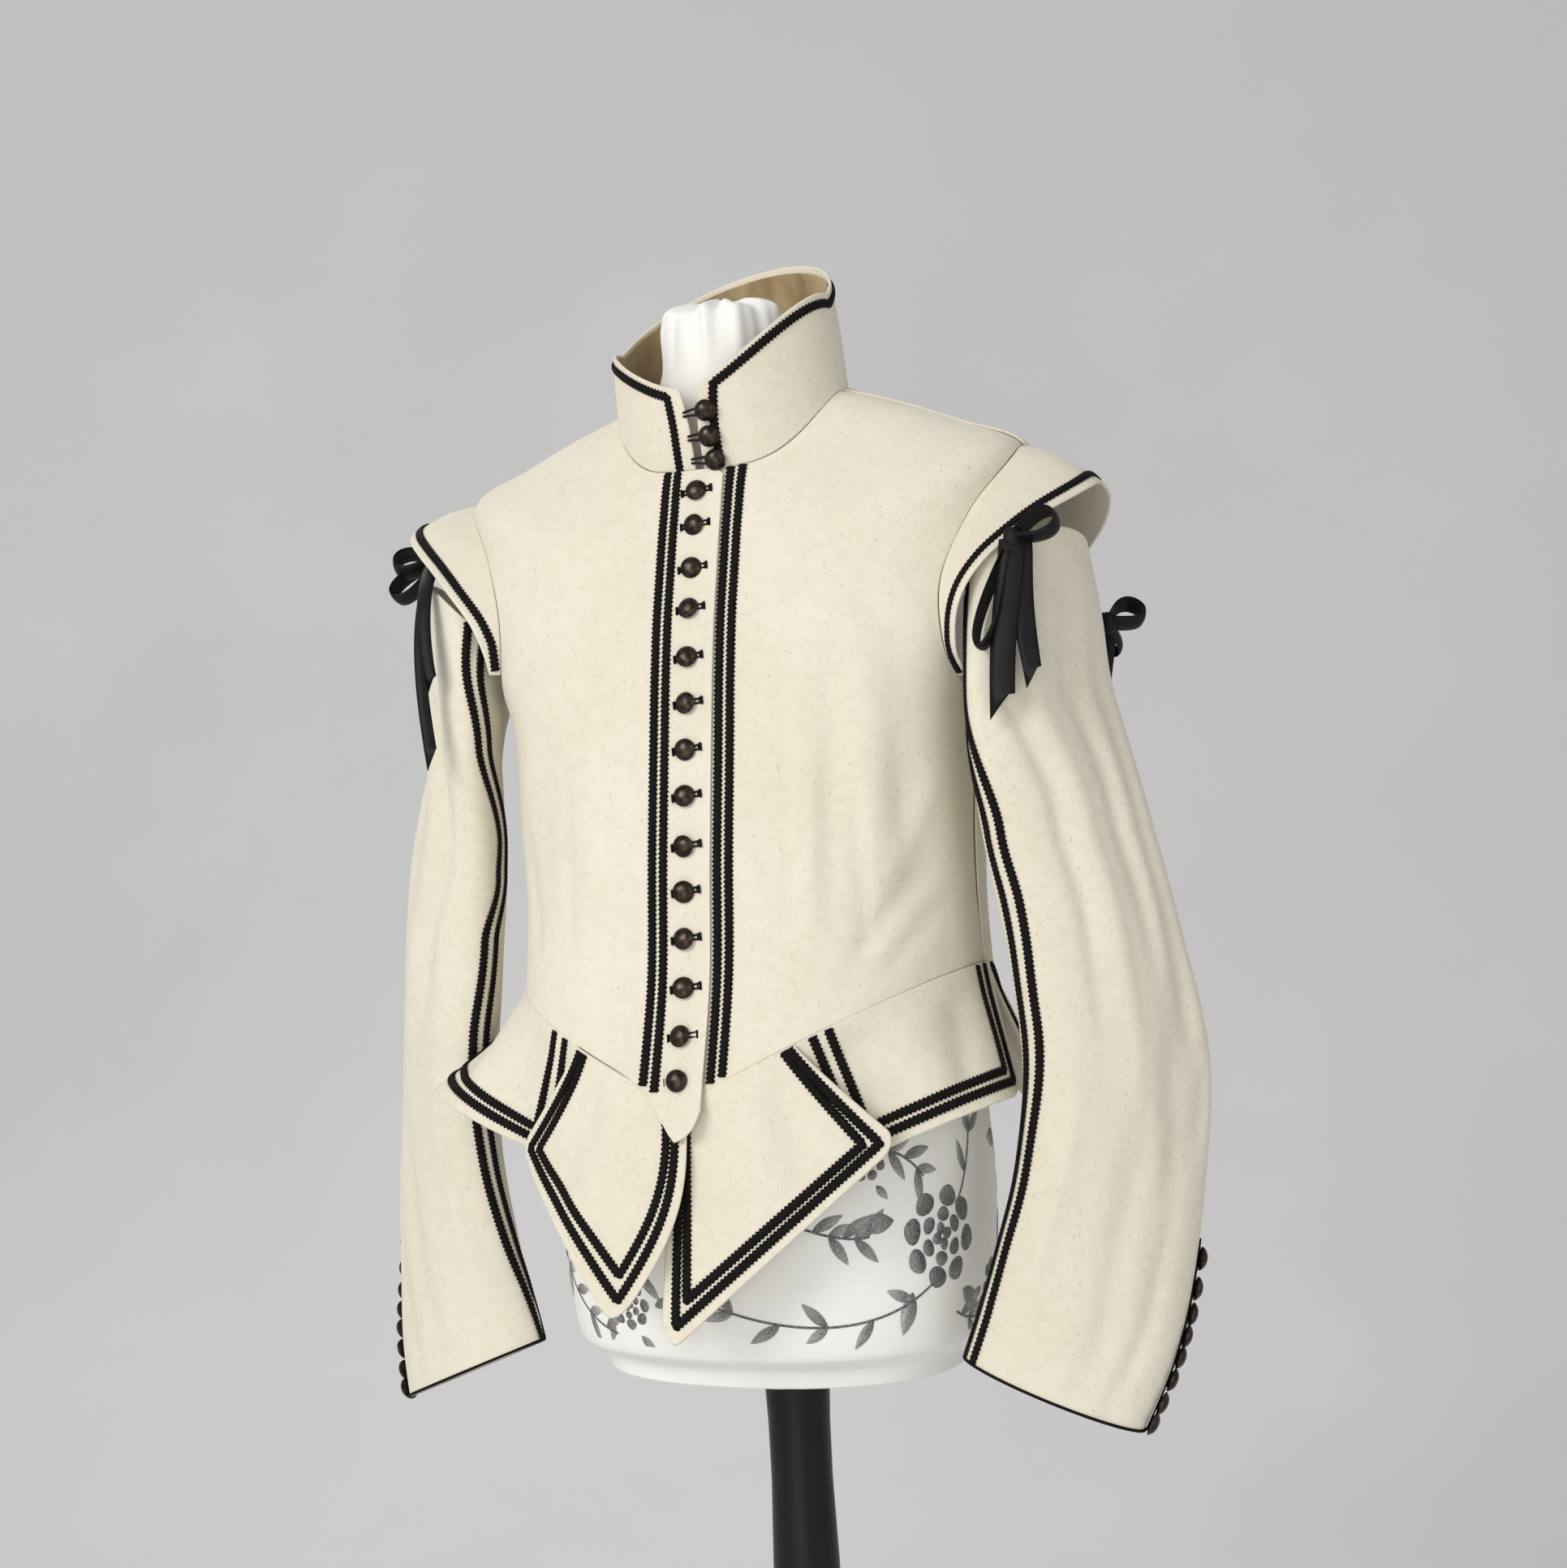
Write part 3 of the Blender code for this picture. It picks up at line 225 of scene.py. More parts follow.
# Stand: heights and radii of the turned post and its base
STAND_PROFILE = (
    (0.0000, 0.1700), (0.0060, 0.1780), (0.0200, 0.1780), (0.0260, 0.1720), (0.0300, 0.0600), (0.0420, 0.0380),
    (0.0700, 0.0300), (0.3000, 0.0260), (0.5500, 0.0245), (0.6200, 0.0238), (0.6800, 0.0220), (0.7200, 0.0222),
    (0.7500, 0.0234), (0.7685, 0.0244),
)



def between_rows(rows, place):
    """Read a table at a fractional row, smoothly through the rows."""
    last = len(rows) - 1
    low = min(max(int(math.floor(place)), 0), last - 1)
    t = place - low
    p0, p1 = rows[max(low - 1, 0)], rows[low]
    p2, p3 = rows[low + 1], rows[min(low + 2, last)]
    values = []
    for a, b, c, d in zip(p0, p1, p2, p3):
        if not 0.0 <= t <= 1.0:
            values.append(b + (c - b) * t)
            continue
        values.append(0.5 * (2 * b + (c - a) * t + (2 * a - 5 * b + 4 * c - d) * t * t
                             + (3 * b - a - 3 * c + d) * t ** 3))
    return values


def ring_at(rows, place):
    """A ring's values by column name."""
    return dict(zip(RING_COLUMNS, between_rows(rows, place)))


def ring_point(ring, turn):
    """Point of a ring at a turn in degrees from the centre front, positive towards the wearer's left."""
    angle = math.radians(turn)
    cosine, sine = math.cos(angle), math.sin(angle)
    power = 2.0 / ring["square"]
    share = abs(sine) ** power
    reach = abs(cosine) ** power
    end_y, end_z = (ring["front_y"], ring["front_z"]) if cosine >= 0 else (ring["back_y"], ring["back_z"])
    dip = (1.0 - min(1.0, share) ** ring["dip"]) if cosine >= 0 else abs(cosine)
    return Vector((
        math.copysign(ring["half_width"] * share, sine),
        ring["side_y"] + (end_y - ring["side_y"]) * reach,
        ring["side_z"] + (end_z - ring["side_z"]) * dip,
    ))


def turn_of_share(ring, share):
    """Turn at which a ring has come out to a share of its half width."""
    return math.degrees(math.asin(min(1.0, max(-1.0, math.copysign(abs(share) ** (ring["square"] / 2), share)))))


def smooth_step(low, high, value):
    """0 below low, 1 above high, smooth between."""
    t = min(1.0, max(0.0, (value - low) / (high - low)))
    return t * t * (3 - 2 * t)


def fold_height(side, point):
    """How far the soft folds of a front move a point outwards."""
    height = 0.0
    for fold_side, x_top, z_top, x_low, z_low, width, depth in FOLDS:
        if fold_side != side or not z_low < point.z < z_top:
            continue
        down = (z_top - point.z) / (z_top - z_low)
        across = (abs(point.x) - x_top - (x_low - x_top) * down) / width
        height += depth * math.exp(-across * across) * math.sin(math.pi * down) ** 0.8
    return height


def cut_share(ring, column, level):
    """Share of the half width where a panel ends: the side seam, the armhole or the shoulder seam."""
    if level <= UNDERARM or level >= SHOULDER:
        return 1.0
    return min(1.0, ring[column])


def front_point(side, u, level):
    """Outer surface of a front. u is the distance past the button line, then BAND_END plus a share of the rest."""
    ring = ring_at(BODY_RINGS, max(level, 0.0))
    near = min(u, BAND_END)
    turn = turn_of_share(ring, near / ring["half_width"])
    if u > BAND_END:
        turn += (turn_of_share(ring, cut_share(ring, "cut_front", level)) - turn) * (u - BAND_END)
    point = ring_point(ring, side * turn)
    point += Vector((point.x, point.y + 0.03, 0)).normalized() * fold_height(side, point)
    if side < 0:
        layers = 1 + min(1.0, max(0.0, (LAP_LEVEL - level) / LAP_LEVEL))
        point.y -= (WALL + 2 * SEAM) * layers * smooth_step(BAND_END, LAP_LIFTED, u)
    if level < 0:
        point += Vector((0, -0.32, -1)) * TONGUE_LENGTH * -level
    point.y -= SEAM / 2
    return point


def back_point(u, level):
    """Outer surface of the back, u from -1 at the wearer's right to 1 at the left."""
    ring = ring_at(BODY_RINGS, level)
    half = turn_of_share(ring, cut_share(ring, "cut_back", level))
    point = ring_point(ring, 180 - half * u)
    point.y += SEAM / 2
    return point


def collar_point(turn, level):
    """Outer surface of the standing collar; the mouth opens a little towards the rim."""
    mouth = COLLAR_TURN_MOUTH + (COLLAR_TURN_RIM - COLLAR_TURN_MOUTH) * max(0.0, level - 1) ** 1.5
    opened = mouth + (turn / 360.0) * (360.0 - 2 * mouth)
    point = ring_point(ring_at(COLLAR_RINGS, level), opened)
    point.z += COLLAR_TILT * point.x * max(0.0, level / 2) ** 1.5
    return point


def sleeve_axes(row, side):
    """Width and depth directions of a sleeve's section."""
    yaw = math.radians(row["yaw"])
    width = Vector((side * math.cos(yaw), math.sin(yaw), 0))
    depth = Vector((side * math.sin(yaw), -math.cos(yaw), 0))
    return width, depth


def seam_swing(side, place):
    """Degrees by which a sleeve's front seam leaves the middle of its front, at a place of the sleeve."""
    rows = SEAM_SWING[side]
    inside = min(max(place, 0.0), rows[-1][0] - 1e-6)
    low = max(i for i, row in enumerate(rows[:-1]) if row[0] <= inside)
    (start, first), (end, last) = rows[low], rows[low + 1]
    return first + (last - first) * smooth_step(start, end, inside)


def sleeve_point(side, turn, place):
    """Outer surface of a sleeve: turn 0 is the front seam, 90 the outer side, 180 the back seam."""
    row = dict(zip(SLEEVE_COLUMNS, between_rows(SLEEVE_ROWS, place)))
    width, depth = sleeve_axes(row, side)
    angle = math.radians(turn + seam_swing(side, place) * (1 - abs(turn) / 180))
    across = -math.cos(angle) * row["half_width"]
    outward = math.sin(angle) * row["half_depth"]
    centre = Vector((side * row["x"], row["y"], row["z"]))
    lift = row["slope"] * across + row["cap"] * outward
    return centre + width * across + depth * outward + Vector((0, 0, lift))


def armhole_point(side, along):
    """Edge of the armhole, along 0 at its front foot, 0.5 on the shoulder, 1 at its back foot."""
    foot = WING_FOOT[side]
    if along <= 0.5:
        level = foot + (SHOULDER - foot) * along * 2
        return front_point(side, BAND_END + 1.0, min(level, SHOULDER - 1e-4))
    level = foot + (SHOULDER - foot) * (1 - along) * 2
    return back_point(side * 1.0, min(level, SHOULDER - 1e-4))


def wing_point(side, along, out):
    """Outer surface of a shoulder wing, out 0 at the armhole seam and 1 at the free edge."""
    places = [row[0] for row in WING_ROWS]
    clamped = min(max(along, 0.0), 1.0)
    low = max(i for i, value in enumerate(places[:-1]) if value <= clamped)
    place = low + (clamped - places[low]) / (places[low + 1] - places[low])
    row = dict(zip(WING_COLUMNS, between_rows(WING_ROWS, place)))
    behind = smooth_step(0.5, 0.62, clamped)
    start = armhole_point(side, clamped) + Vector((side * 3 * SEAM, -5 * SEAM * behind, 0))
    reach = Vector((side * row["out_x"], row["out_y"], row["out_z"]))
    reach.z -= WING_DROP[side] * smooth_step(0.2, 0.6, clamped) * smooth_step(1.0, 0.7, clamped)
    arch = Vector((0, 0, 0.25 * abs(row["out_z"]) * math.sin(math.pi * min(1, max(0, out)))))
    return start + reach * out + arch


def tab_surface(tab, share, drop):
    """Outer surface of a skirt tab by shares of its width and of its length."""
    row = dict(zip(TAB_COLUMNS, TABS[tab]))
    ring = ring_at(BODY_RINGS, 0)

    def top_at(part):
        point = ring_point(ring, row["turn_front"] + (row["turn_back"] - row["turn_front"]) * part)
        lift = row["lift_front"] + (row["lift_back"] - row["lift_front"]) * part
        return point + Vector((point.x, point.y + 0.02, 0)).normalized() * lift - Vector((0, 0, 3.25 * SEAM))

    drop_front = Vector((row["front_x"], row["front_y"], row["front_z"])) - top_at(0)
    drop_back = Vector((row["back_x"], row["back_y"], row["back_z"])) - top_at(1)
    way = drop_front.lerp(drop_back, share)
    curled = math.copysign(abs(drop) ** (1 + (row["curl"] - 1) * share), drop)
    point = top_at(share) + Vector((way.x * curled, way.y * curled, way.z * drop))
    point.x += row["bow"] * math.sin(math.pi * min(1, max(0, drop))) * (1 - share)
    return point


def surface_normal(surface, u, v, step_u, step_v):
    """Unit normal of a surface function by small steps each way."""
    along_u = surface(u + step_u, v) - surface(u - step_u, v)
    along_v = surface(u, v + step_v) - surface(u, v - step_v)
    return along_u.cross(along_v).normalized()


def level_of_height(height):
    """Level whose front height is the given one."""
    low, high = 0.0, float(NECK)
    for _ in range(40):
        middle = (low + high) / 2
        if ring_at(BODY_RINGS, middle)["front_z"] < height:
            low = middle
        else:
            high = middle
    return low


def form_ring(level):
    """Ring of the dress form inside the doublet; it touches the cloth only at the shoulders."""
    ring = ring_at(BODY_RINGS, level)
    snug = smooth_step(SHOULDER - 0.2, SHOULDER + 1.0, level)
    ease = WALL + FORM_EASE * (1 - snug) + 2 * SEAM
    ring["half_width"] -= ease
    ring["front_y"] += ease
    ring["back_y"] -= ease
    for column in ("side_z", "front_z", "back_z"):
        ring[column] -= ease * snug * 1.15
    if ring["half_width"] > FORM_ARM_X:
        ring["half_width"] = FORM_ARM_X
    return ring

# Surface detail: creases as lines across each panel, with their width and depth in metres.
# Body lines run from an upper to a lower place; side 1 is the wearer's left front, -1 the right, 0 the back.
BODY_CREASES = (
    (1, 0.066, 1.240, 0.072, 1.075, 0.0050, -0.0012),
    (1, 0.088, 1.200, 0.084, 1.070, 0.0045, 0.0010),
    (1, 0.112, 1.180, 0.117, 1.065, 0.0050, -0.0014),
    (1, 0.152, 1.120, 0.108, 1.052, 0.0055, -0.0019),
    (1, 0.160, 1.096, 0.128, 1.046, 0.0045, -0.0013),
    (1, 0.158, 1.180, 0.132, 1.110, 0.0060, 0.0012),
    (1, 0.150, 1.262, 0.112, 1.300, 0.0070, -0.0013),
    (-1, 0.060, 1.210, 0.064, 1.090, 0.0060, -0.0009),
    (-1, 0.098, 1.190, 0.092, 1.072, 0.0055, -0.0011),
    (-1, 0.140, 1.150, 0.126, 1.062, 0.0060, -0.0013),
    (-1, 0.152, 1.250, 0.110, 1.290, 0.0070, -0.0011),
    (0, -0.110, 1.220, -0.098, 1.075, 0.0080, -0.0022),
    (0, -0.062, 1.180, -0.058, 1.062, 0.0070, 0.0015),
    (0, -0.018, 1.200, -0.022, 1.056, 0.0065, -0.0014),
    (0, 0.034, 1.170, 0.030, 1.060, 0.0080, -0.0018),
    (0, 0.082, 1.240, 0.076, 1.070, 0.0075, -0.0020),
    (0, 0.122, 1.190, 0.104, 1.074, 0.0060, 0.0016),
    (0, -0.135, 1.330, -0.085, 1.240, 0.0100, -0.0018),
    (0, 0.140, 1.320, 0.090, 1.245, 0.0100, -0.0016),
)
# Sleeve lines in turns and places of the sleeve, the width in degrees
SLEEVE_CREASES = (
    (62, 0.4, 66, 4.6, 7.0, -0.0022),
    (78, 0.8, 88, 5.2, 8.0, 0.0018),
    (104, 0.6, 112, 4.2, 8.0, -0.0026),
    (132, 1.0, 138, 4.8, 9.0, -0.0018),
    (150, 4.2, 104, 5.2, 9.0, -0.0030),
    (158, 5.2, 112, 5.7, 8.0, -0.0024),
    (92, 5.4, 100, 8.6, 9.0, -0.0016),
    (50, 4.8, 44, 8.0, 8.0, 0.0012),
    (128, 6.0, 122, 8.8, 8.0, -0.0014),
    (-60, 0.8, -66, 4.4, 8.0, -0.0020),
    (-96, 1.2, -104, 4.6, 9.0, -0.0022),
    (-130, 3.6, -90, 5.2, 10.0, -0.0026),
    (-70, 5.4, -76, 8.4, 9.0, -0.0014),
    (-118, 6.0, -112, 8.6, 9.0, 0.0014),
)
# Tab lines in shares of width and drop, the width as a share
TAB_CREASES = ((0.22, 0.0, 0.30, 0.8, 0.10, -0.0014), (0.52, 0.0, 0.50, 0.9, 0.12, 0.0012), (0.76, 0.1, 0.66, 0.9, 0.09, -0.0013))
WAVE = 0.0009
DEEPER = 1.7


def line_height(table, a, b, steep=1.0):
    """Sum of soft lines at place a across and b along; each row is a0, b0, a1, b1, width, depth."""
    height = 0.0
    for a0, b0, a1, b1, width, depth in table:
        length = math.hypot((a1 - a0) * steep, b1 - b0)
        along = ((a - a0) * (a1 - a0) * steep * steep + (b - b0) * (b1 - b0)) / (length * length)
        if not -0.12 < along < 1.12:
            continue
        nearest = a0 + (a1 - a0) * along
        across = (a - nearest) / width
        if abs(b1 - b0) < abs(a1 - a0) * steep:
            across = (b - b0 - (b1 - b0) * along) / (width * steep)
        fade = smooth_step(-0.12, 0.3, along) * smooth_step(1.12, 0.75, along)
        height += DEEPER * depth * math.exp(-across * across) * fade
    return height


def body_crease(side):
    table = [row[1:] for row in BODY_CREASES if row[0] == side]

    def crease(u, v, point):
        x = abs(point.x) if side else point.x
        wave = noise.noise(Vector((point.x * 14, point.y * 14, point.z * 11))) * WAVE
        return line_height(table, x, point.z) + wave
    return crease


def sleeve_crease(side):
    def crease(u, v, point):
        swing = 5 * noise.noise(Vector((v * 0.7, side * 3, 0)))
        wave = noise.noise(Vector((point.x * 16, point.y * 16, point.z * 12 + side))) * 0.0010
        near_seam = smooth_step(16, 40, abs(u)) * smooth_step(172, 150, abs(u))
        return (line_height(SLEEVE_CREASES, u + swing + 4 * side, v - 0.1 * side, 1 / 20) + wave) * near_seam
    return crease


def plain_crease(scale, amount):
    def crease(u, v, point):
        return noise.noise(point * scale) * amount
    return crease


def normals_of(points, flip):
    """Unit normals of a grid of points."""
    rows, columns = np.gradient(points, axis=0), np.gradient(points, axis=1)
    cross = np.cross(columns, rows)
    cross /= np.maximum(np.linalg.norm(cross, axis=2, keepdims=True), 1e-12)
    return -cross if flip else cross


def field(surface, us, vs, flip, crease=None):
    """Points and normals of a surface on a grid, moved by its creases."""
    points = np.array([[surface(u, v)[:] for u in us] for v in vs])
    normals = normals_of(points, flip)
    if crease:
        moved = np.array([[crease(u, v, Vector(points[j, i])) for i, u in enumerate(us)] for j, v in enumerate(vs)])
        points = points + normals * moved[:, :, None]
        normals = normals_of(points, flip)
    return points, normals


def rimmed(grid, step=0.0008):
    """Add a row close to each edge of a grid of points, so that shading stays flat up to the rim."""
    for axis in (0, 1):
        grid = np.moveaxis(grid, axis, 0)
        first, last = grid[1] - grid[0], grid[-2] - grid[-1]
        one = grid[0] + first * (step / np.maximum(np.linalg.norm(first, axis=-1, keepdims=True), 2 * step))
        two = grid[-1] + last * (step / np.maximum(np.linalg.norm(last, axis=-1, keepdims=True), 2 * step))
        grid = np.concatenate([grid[:1], one[None], grid[1:-1], two[None], grid[-1:]])
        grid = np.moveaxis(grid, 0, axis)
    return grid


def new_object(name, verts, faces, material, smooth=True):
    mesh = bpy.data.meshes.new(name)
    mesh.from_pydata([tuple(v) for v in verts], [], faces)
    mesh.polygons.foreach_set("use_smooth", [smooth] * len(mesh.polygons))
    mesh.update()
    piece = bpy.data.objects.new(name, mesh)
    bpy.context.scene.collection.objects.link(piece)
    mesh.materials.append(material)
    return piece


def keep_piece(piece, slot, *nodes):
    """Let a piece ride on the one body and stand for its nodes."""
    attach(piece, "root")
    if nodes:
        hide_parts(*nodes)
    return piece


def shell(name, points, normals, material, wall=WALL, outer=0.0, rim=0.42):
    """A closed sheet of cloth with a rounded rim."""
    out = rimmed(points + normals * outer)
    inn = rimmed(points + normals * (outer - wall))
    rows, columns = out.shape[:2]
    size = rows * columns
    verts = np.concatenate([out.reshape(-1, 3), inn.reshape(-1, 3)])
    faces = []
    for j in range(rows - 1):
        for i in range(columns - 1):
            a, b = j * columns + i, j * columns + i + 1
            c, d = b + columns, a + columns
            faces.append((a, b, c, d))
            faces.append((size + d, size + c, size + b, size + a))
    loop = [(0, i) for i in range(columns)] + [(j, columns - 1) for j in range(1, rows)]
    loop += [(rows - 1, i) for i in range(columns - 2, -1, -1)] + [(j, 0) for j in range(rows - 2, 0, -1)]
    rims = []
    for j, i in loop:
        inside = (min(max(j, 1), rows - 2), min(max(i, 1), columns - 2))
        away = out[j, i] - out[inside]
        away /= max(np.linalg.norm(away), 1e-9)
        rims.append((out[j, i] + inn[j, i]) / 2 + away * wall * rim)
    start = 2 * size
    verts = np.concatenate([verts, np.array(rims)])
    count = len(loop)
    for k in range(count):
        n = (k + 1) % count
        a, b = loop[k][0] * columns + loop[k][1], loop[n][0] * columns + loop[n][1]
        faces.append((b, a, start + k, start + n))
        faces.append((start + n, start + k, size + a, size + b))
    piece = new_object(name, verts, faces, material)
    fix_facing(piece)
    return piece


def fix_facing(piece):
    """Turn a closed mesh inside out if its faces look inwards."""
    mesh = piece.data
    mesh.calc_loop_triangles()
    count = len(mesh.vertices)
    where = np.empty(count * 3)
    mesh.vertices.foreach_get("co", where)
    where = where.reshape(-1, 3)
    tris = np.empty(len(mesh.loop_triangles) * 3, dtype=np.int64)
    mesh.loop_triangles.foreach_get("vertices", tris)
    tris = tris.reshape(-1, 3)
    centre = where.mean(axis=0)
    a, b, c = (where[tris[:, k]] - centre for k in range(3))
    if np.einsum("ij,ij->i", a, np.cross(b, c)).sum() < 0:
        mesh.flip_normals()


def cut_of(points):
    """Flat width, length and area of a grid of points, as a maker would cut it."""
    across = np.linalg.norm(np.diff(points, axis=1), axis=2).sum(axis=1).max()
    along = np.linalg.norm(np.diff(points, axis=0), axis=2).sum(axis=0).max()
    a, b = points[1:, :-1] - points[:-1, :-1], points[:-1, 1:] - points[:-1, :-1]
    c, d = points[1:, 1:] - points[1:, :-1], points[1:, 1:] - points[:-1, 1:]
    area = (np.linalg.norm(np.cross(a, b), axis=2) + np.linalg.norm(np.cross(c, d), axis=2)).sum() / 2
    return float(across), float(along), float(area)


def declare(points):
    width, length, area = cut_of(points)
    area = min(area, width * length)


def panel(name, surface, us, vs, flip, crease, material, slot, wall=WALL, outer=0.0):
    """One sewn piece: its sheet of cloth, standing for the node of the same name."""
    points, normals = field(surface, us, vs, flip, crease)
    piece = shell(name + "_cloth", points, normals, material, wall, outer)
    keep_piece(piece, slot, name)
    declare(points)
    return piece


# Braid: a domed strip with scalloped edges, along a path of points and normals
SCALLOP = 0.0031
SCALLOP_DEPTH = 0.0014
BRAID_STEP = 0.0005
ROW_WIDTH = 0.0074
ROW_STEP = 0.0081
BRAID_SECTION = ((-1.0, 0.0003), (-0.62, 0.0012), (0.0, 0.00145), (0.62, 0.0012), (1.0, 0.0003))


def path_on(surface, places, flip, crease=None, step=(0.002, 0.02)):
    """Points and normals of a surface at a list of places."""
    sign = -1 if flip else 1
    points, normals = [], []
    for u, v in places:
        normal = surface_normal(surface, u, v, *step) * sign
        point = surface(u, v)
        if crease:
            point = point + normal * crease(u, v, point)
        points.append(point[:])
        normals.append(normal[:])
    return np.array(points), np.array(normals)


def resample(points, normals, step):
    """Even steps along a path, through a smooth curve of its points."""
    lengths = np.concatenate([[0], np.cumsum(np.linalg.norm(np.diff(points, axis=0), axis=1))])
    count = max(4, int(lengths[-1] / step))
    wanted = np.linspace(0, lengths[-1], count)
    out = np.stack([np.interp(wanted, lengths, points[:, k]) for k in range(3)], axis=1)
    nor = np.stack([np.interp(wanted, lengths, normals[:, k]) for k in range(3)], axis=1)
    kernel = np.array([1, 2, 3, 2, 1]) / 9
    for _ in range(2):
        padded = np.pad(out, ((2, 2), (0, 0)), mode="reflect", reflect_type="odd")
        out = np.stack([np.convolve(padded[:, k], kernel, mode="valid") for k in range(3)], axis=1)
    nor /= np.linalg.norm(nor, axis=1, keepdims=True)
    return out, nor, wanted


def braid_parts(points, normals, width=ROW_WIDTH, seed=0.0):
    """Vertices and faces of one row of braid."""
    line, nor, along = resample(points, normals, BRAID_STEP)
    way = np.gradient(line, axis=0)
    way /= np.linalg.norm(way, axis=1, keepdims=True)
    side = np.cross(nor, way)
    side /= np.linalg.norm(side, axis=1, keepdims=True)
    bump = 1 - np.abs(2 * ((along / SCALLOP + seed) % 1) - 1)
    other = 1 - np.abs(2 * ((along / SCALLOP + seed + 0.3) % 1) - 1)
    rib = 0.00012 * np.cos(2 * np.pi * along / SCALLOP + seed)
    rows = []
    for share, height in BRAID_SECTION:
        edge = (bump if share < 0 else other) * SCALLOP_DEPTH * share * share
        reach = (width / 2 - SCALLOP_DEPTH) * share + np.sign(share) * edge
        lift = SEAM + height + (rib if abs(share) < 0.9 else 0)
        rows.append(line + side * reach[:, None] + nor * (lift if np.ndim(lift) else np.full(len(line), lift))[:, None])
    grid = np.stack(rows, axis=1)
    count, across = grid.shape[:2]
    verts = grid.reshape(-1, 3)
    faces = []
    for j in range(count - 1):
        for i in range(across - 1):
            a = j * across + i
            faces.append((a, a + 1, a + across + 1, a + across))
        a = j * across
        faces.append((a + across - 1, a, a + across, a + 2 * across - 1))
    faces.append(tuple(range(across)))
    faces.append(tuple(range(count * across - 1, (count - 1) * across - 1, -1)))
    return verts, faces


def braid(name, paths, nodes, material):
    """Rows of braid joined in one piece; each row is its own strip."""
    verts, faces, start = [], [], 0
    for number, (points, normals) in enumerate(paths):
        part, part_faces = braid_parts(points, normals, seed=number * 0.7)
        verts.append(part)
        faces += [tuple(start + k for k in face) for face in part_faces]
        start += len(part)
    piece = new_object(name, np.concatenate(verts), faces, material)
    fix_facing(piece)
    keep_piece(piece, "braid", *nodes)
    return piece


def span(low, high, count):
    return [low + (high - low) * i / count for i in range(count + 1)]


# Procedural materials, all in object coordinates, which are metres here
def node_material(name, base, roughness, metallic=0.0, sheen=0.0, shine=0.3):
    material = bpy.data.materials.new(name)
    material.use_nodes = True
    shader = material.node_tree.nodes["Principled BSDF"]
    shader.inputs["Base Color"].default_value = (*base, 1)
    shader.inputs["Roughness"].default_value = roughness
    shader.inputs["Metallic"].default_value = metallic
    shader.inputs["Sheen Weight"].default_value = sheen
    shader.inputs["Sheen Roughness"].default_value = 0.5
    shader.inputs["Specular IOR Level"].default_value = shine
    coords = material.node_tree.nodes.new("ShaderNodeTexCoord")
    return material, material.node_tree, shader, coords.outputs["Object"]


def noise_node(tree, vector, scale, detail=2.0, rough=0.5, stretch=None):
    node = tree.nodes.new("ShaderNodeTexNoise")
    node.inputs["Scale"].default_value = scale
    node.inputs["Detail"].default_value = detail
    node.inputs["Roughness"].default_value = rough
    if stretch:
        mapping = tree.nodes.new("ShaderNodeMapping")
        mapping.inputs["Scale"].default_value = stretch
        tree.links.new(vector, mapping.inputs["Vector"])
        vector = mapping.outputs["Vector"]
    tree.links.new(vector, node.inputs["Vector"])
    return node.outputs["Fac"]


def ramp_node(tree, value, stops):
    node = tree.nodes.new("ShaderNodeValToRGB")
    ramp = node.color_ramp
    for place, colour in stops[1:-1]:
        ramp.elements.new(place).color = (*colour, 1)
    ramp.elements[0].position, ramp.elements[0].color = stops[0][0], (*stops[0][1], 1)
    ramp.elements[-1].position, ramp.elements[-1].color = stops[-1][0], (*stops[-1][1], 1)
    tree.links.new(value, node.inputs["Fac"])
    return node.outputs["Color"]


def mix_node(tree, kind, factor, a, b):
    node = tree.nodes.new("ShaderNodeMix")
    node.data_type = "RGBA"
    node.blend_type = kind
    if isinstance(factor, float):
        node.inputs["Factor"].default_value = factor
    else:
        tree.links.new(factor, node.inputs["Factor"])
    for socket, value in ((6, a), (7, b)):
        if isinstance(value, tuple):
            node.inputs[socket].default_value = (*value, 1)
        else:
            tree.links.new(value, node.inputs[socket])
    return node.outputs[2]


def math_node(tree, operation, a, b=0.0):
    node = tree.nodes.new("ShaderNodeMath")
    node.operation = operation
    for socket, value in ((0, a), (1, b)):
        if isinstance(value, (int, float)):
            node.inputs[socket].default_value = value
        else:
            tree.links.new(value, node.inputs[socket])
    return node.outputs[0]


def bump_node(tree, shader, height, strength, distance):
    node = tree.nodes.new("ShaderNodeBump")
    node.inputs["Strength"].default_value = strength
    node.inputs["Distance"].default_value = distance
    tree.links.new(height, node.inputs["Height"])
    tree.links.new(node.outputs["Normal"], shader.inputs["Normal"])
    return node


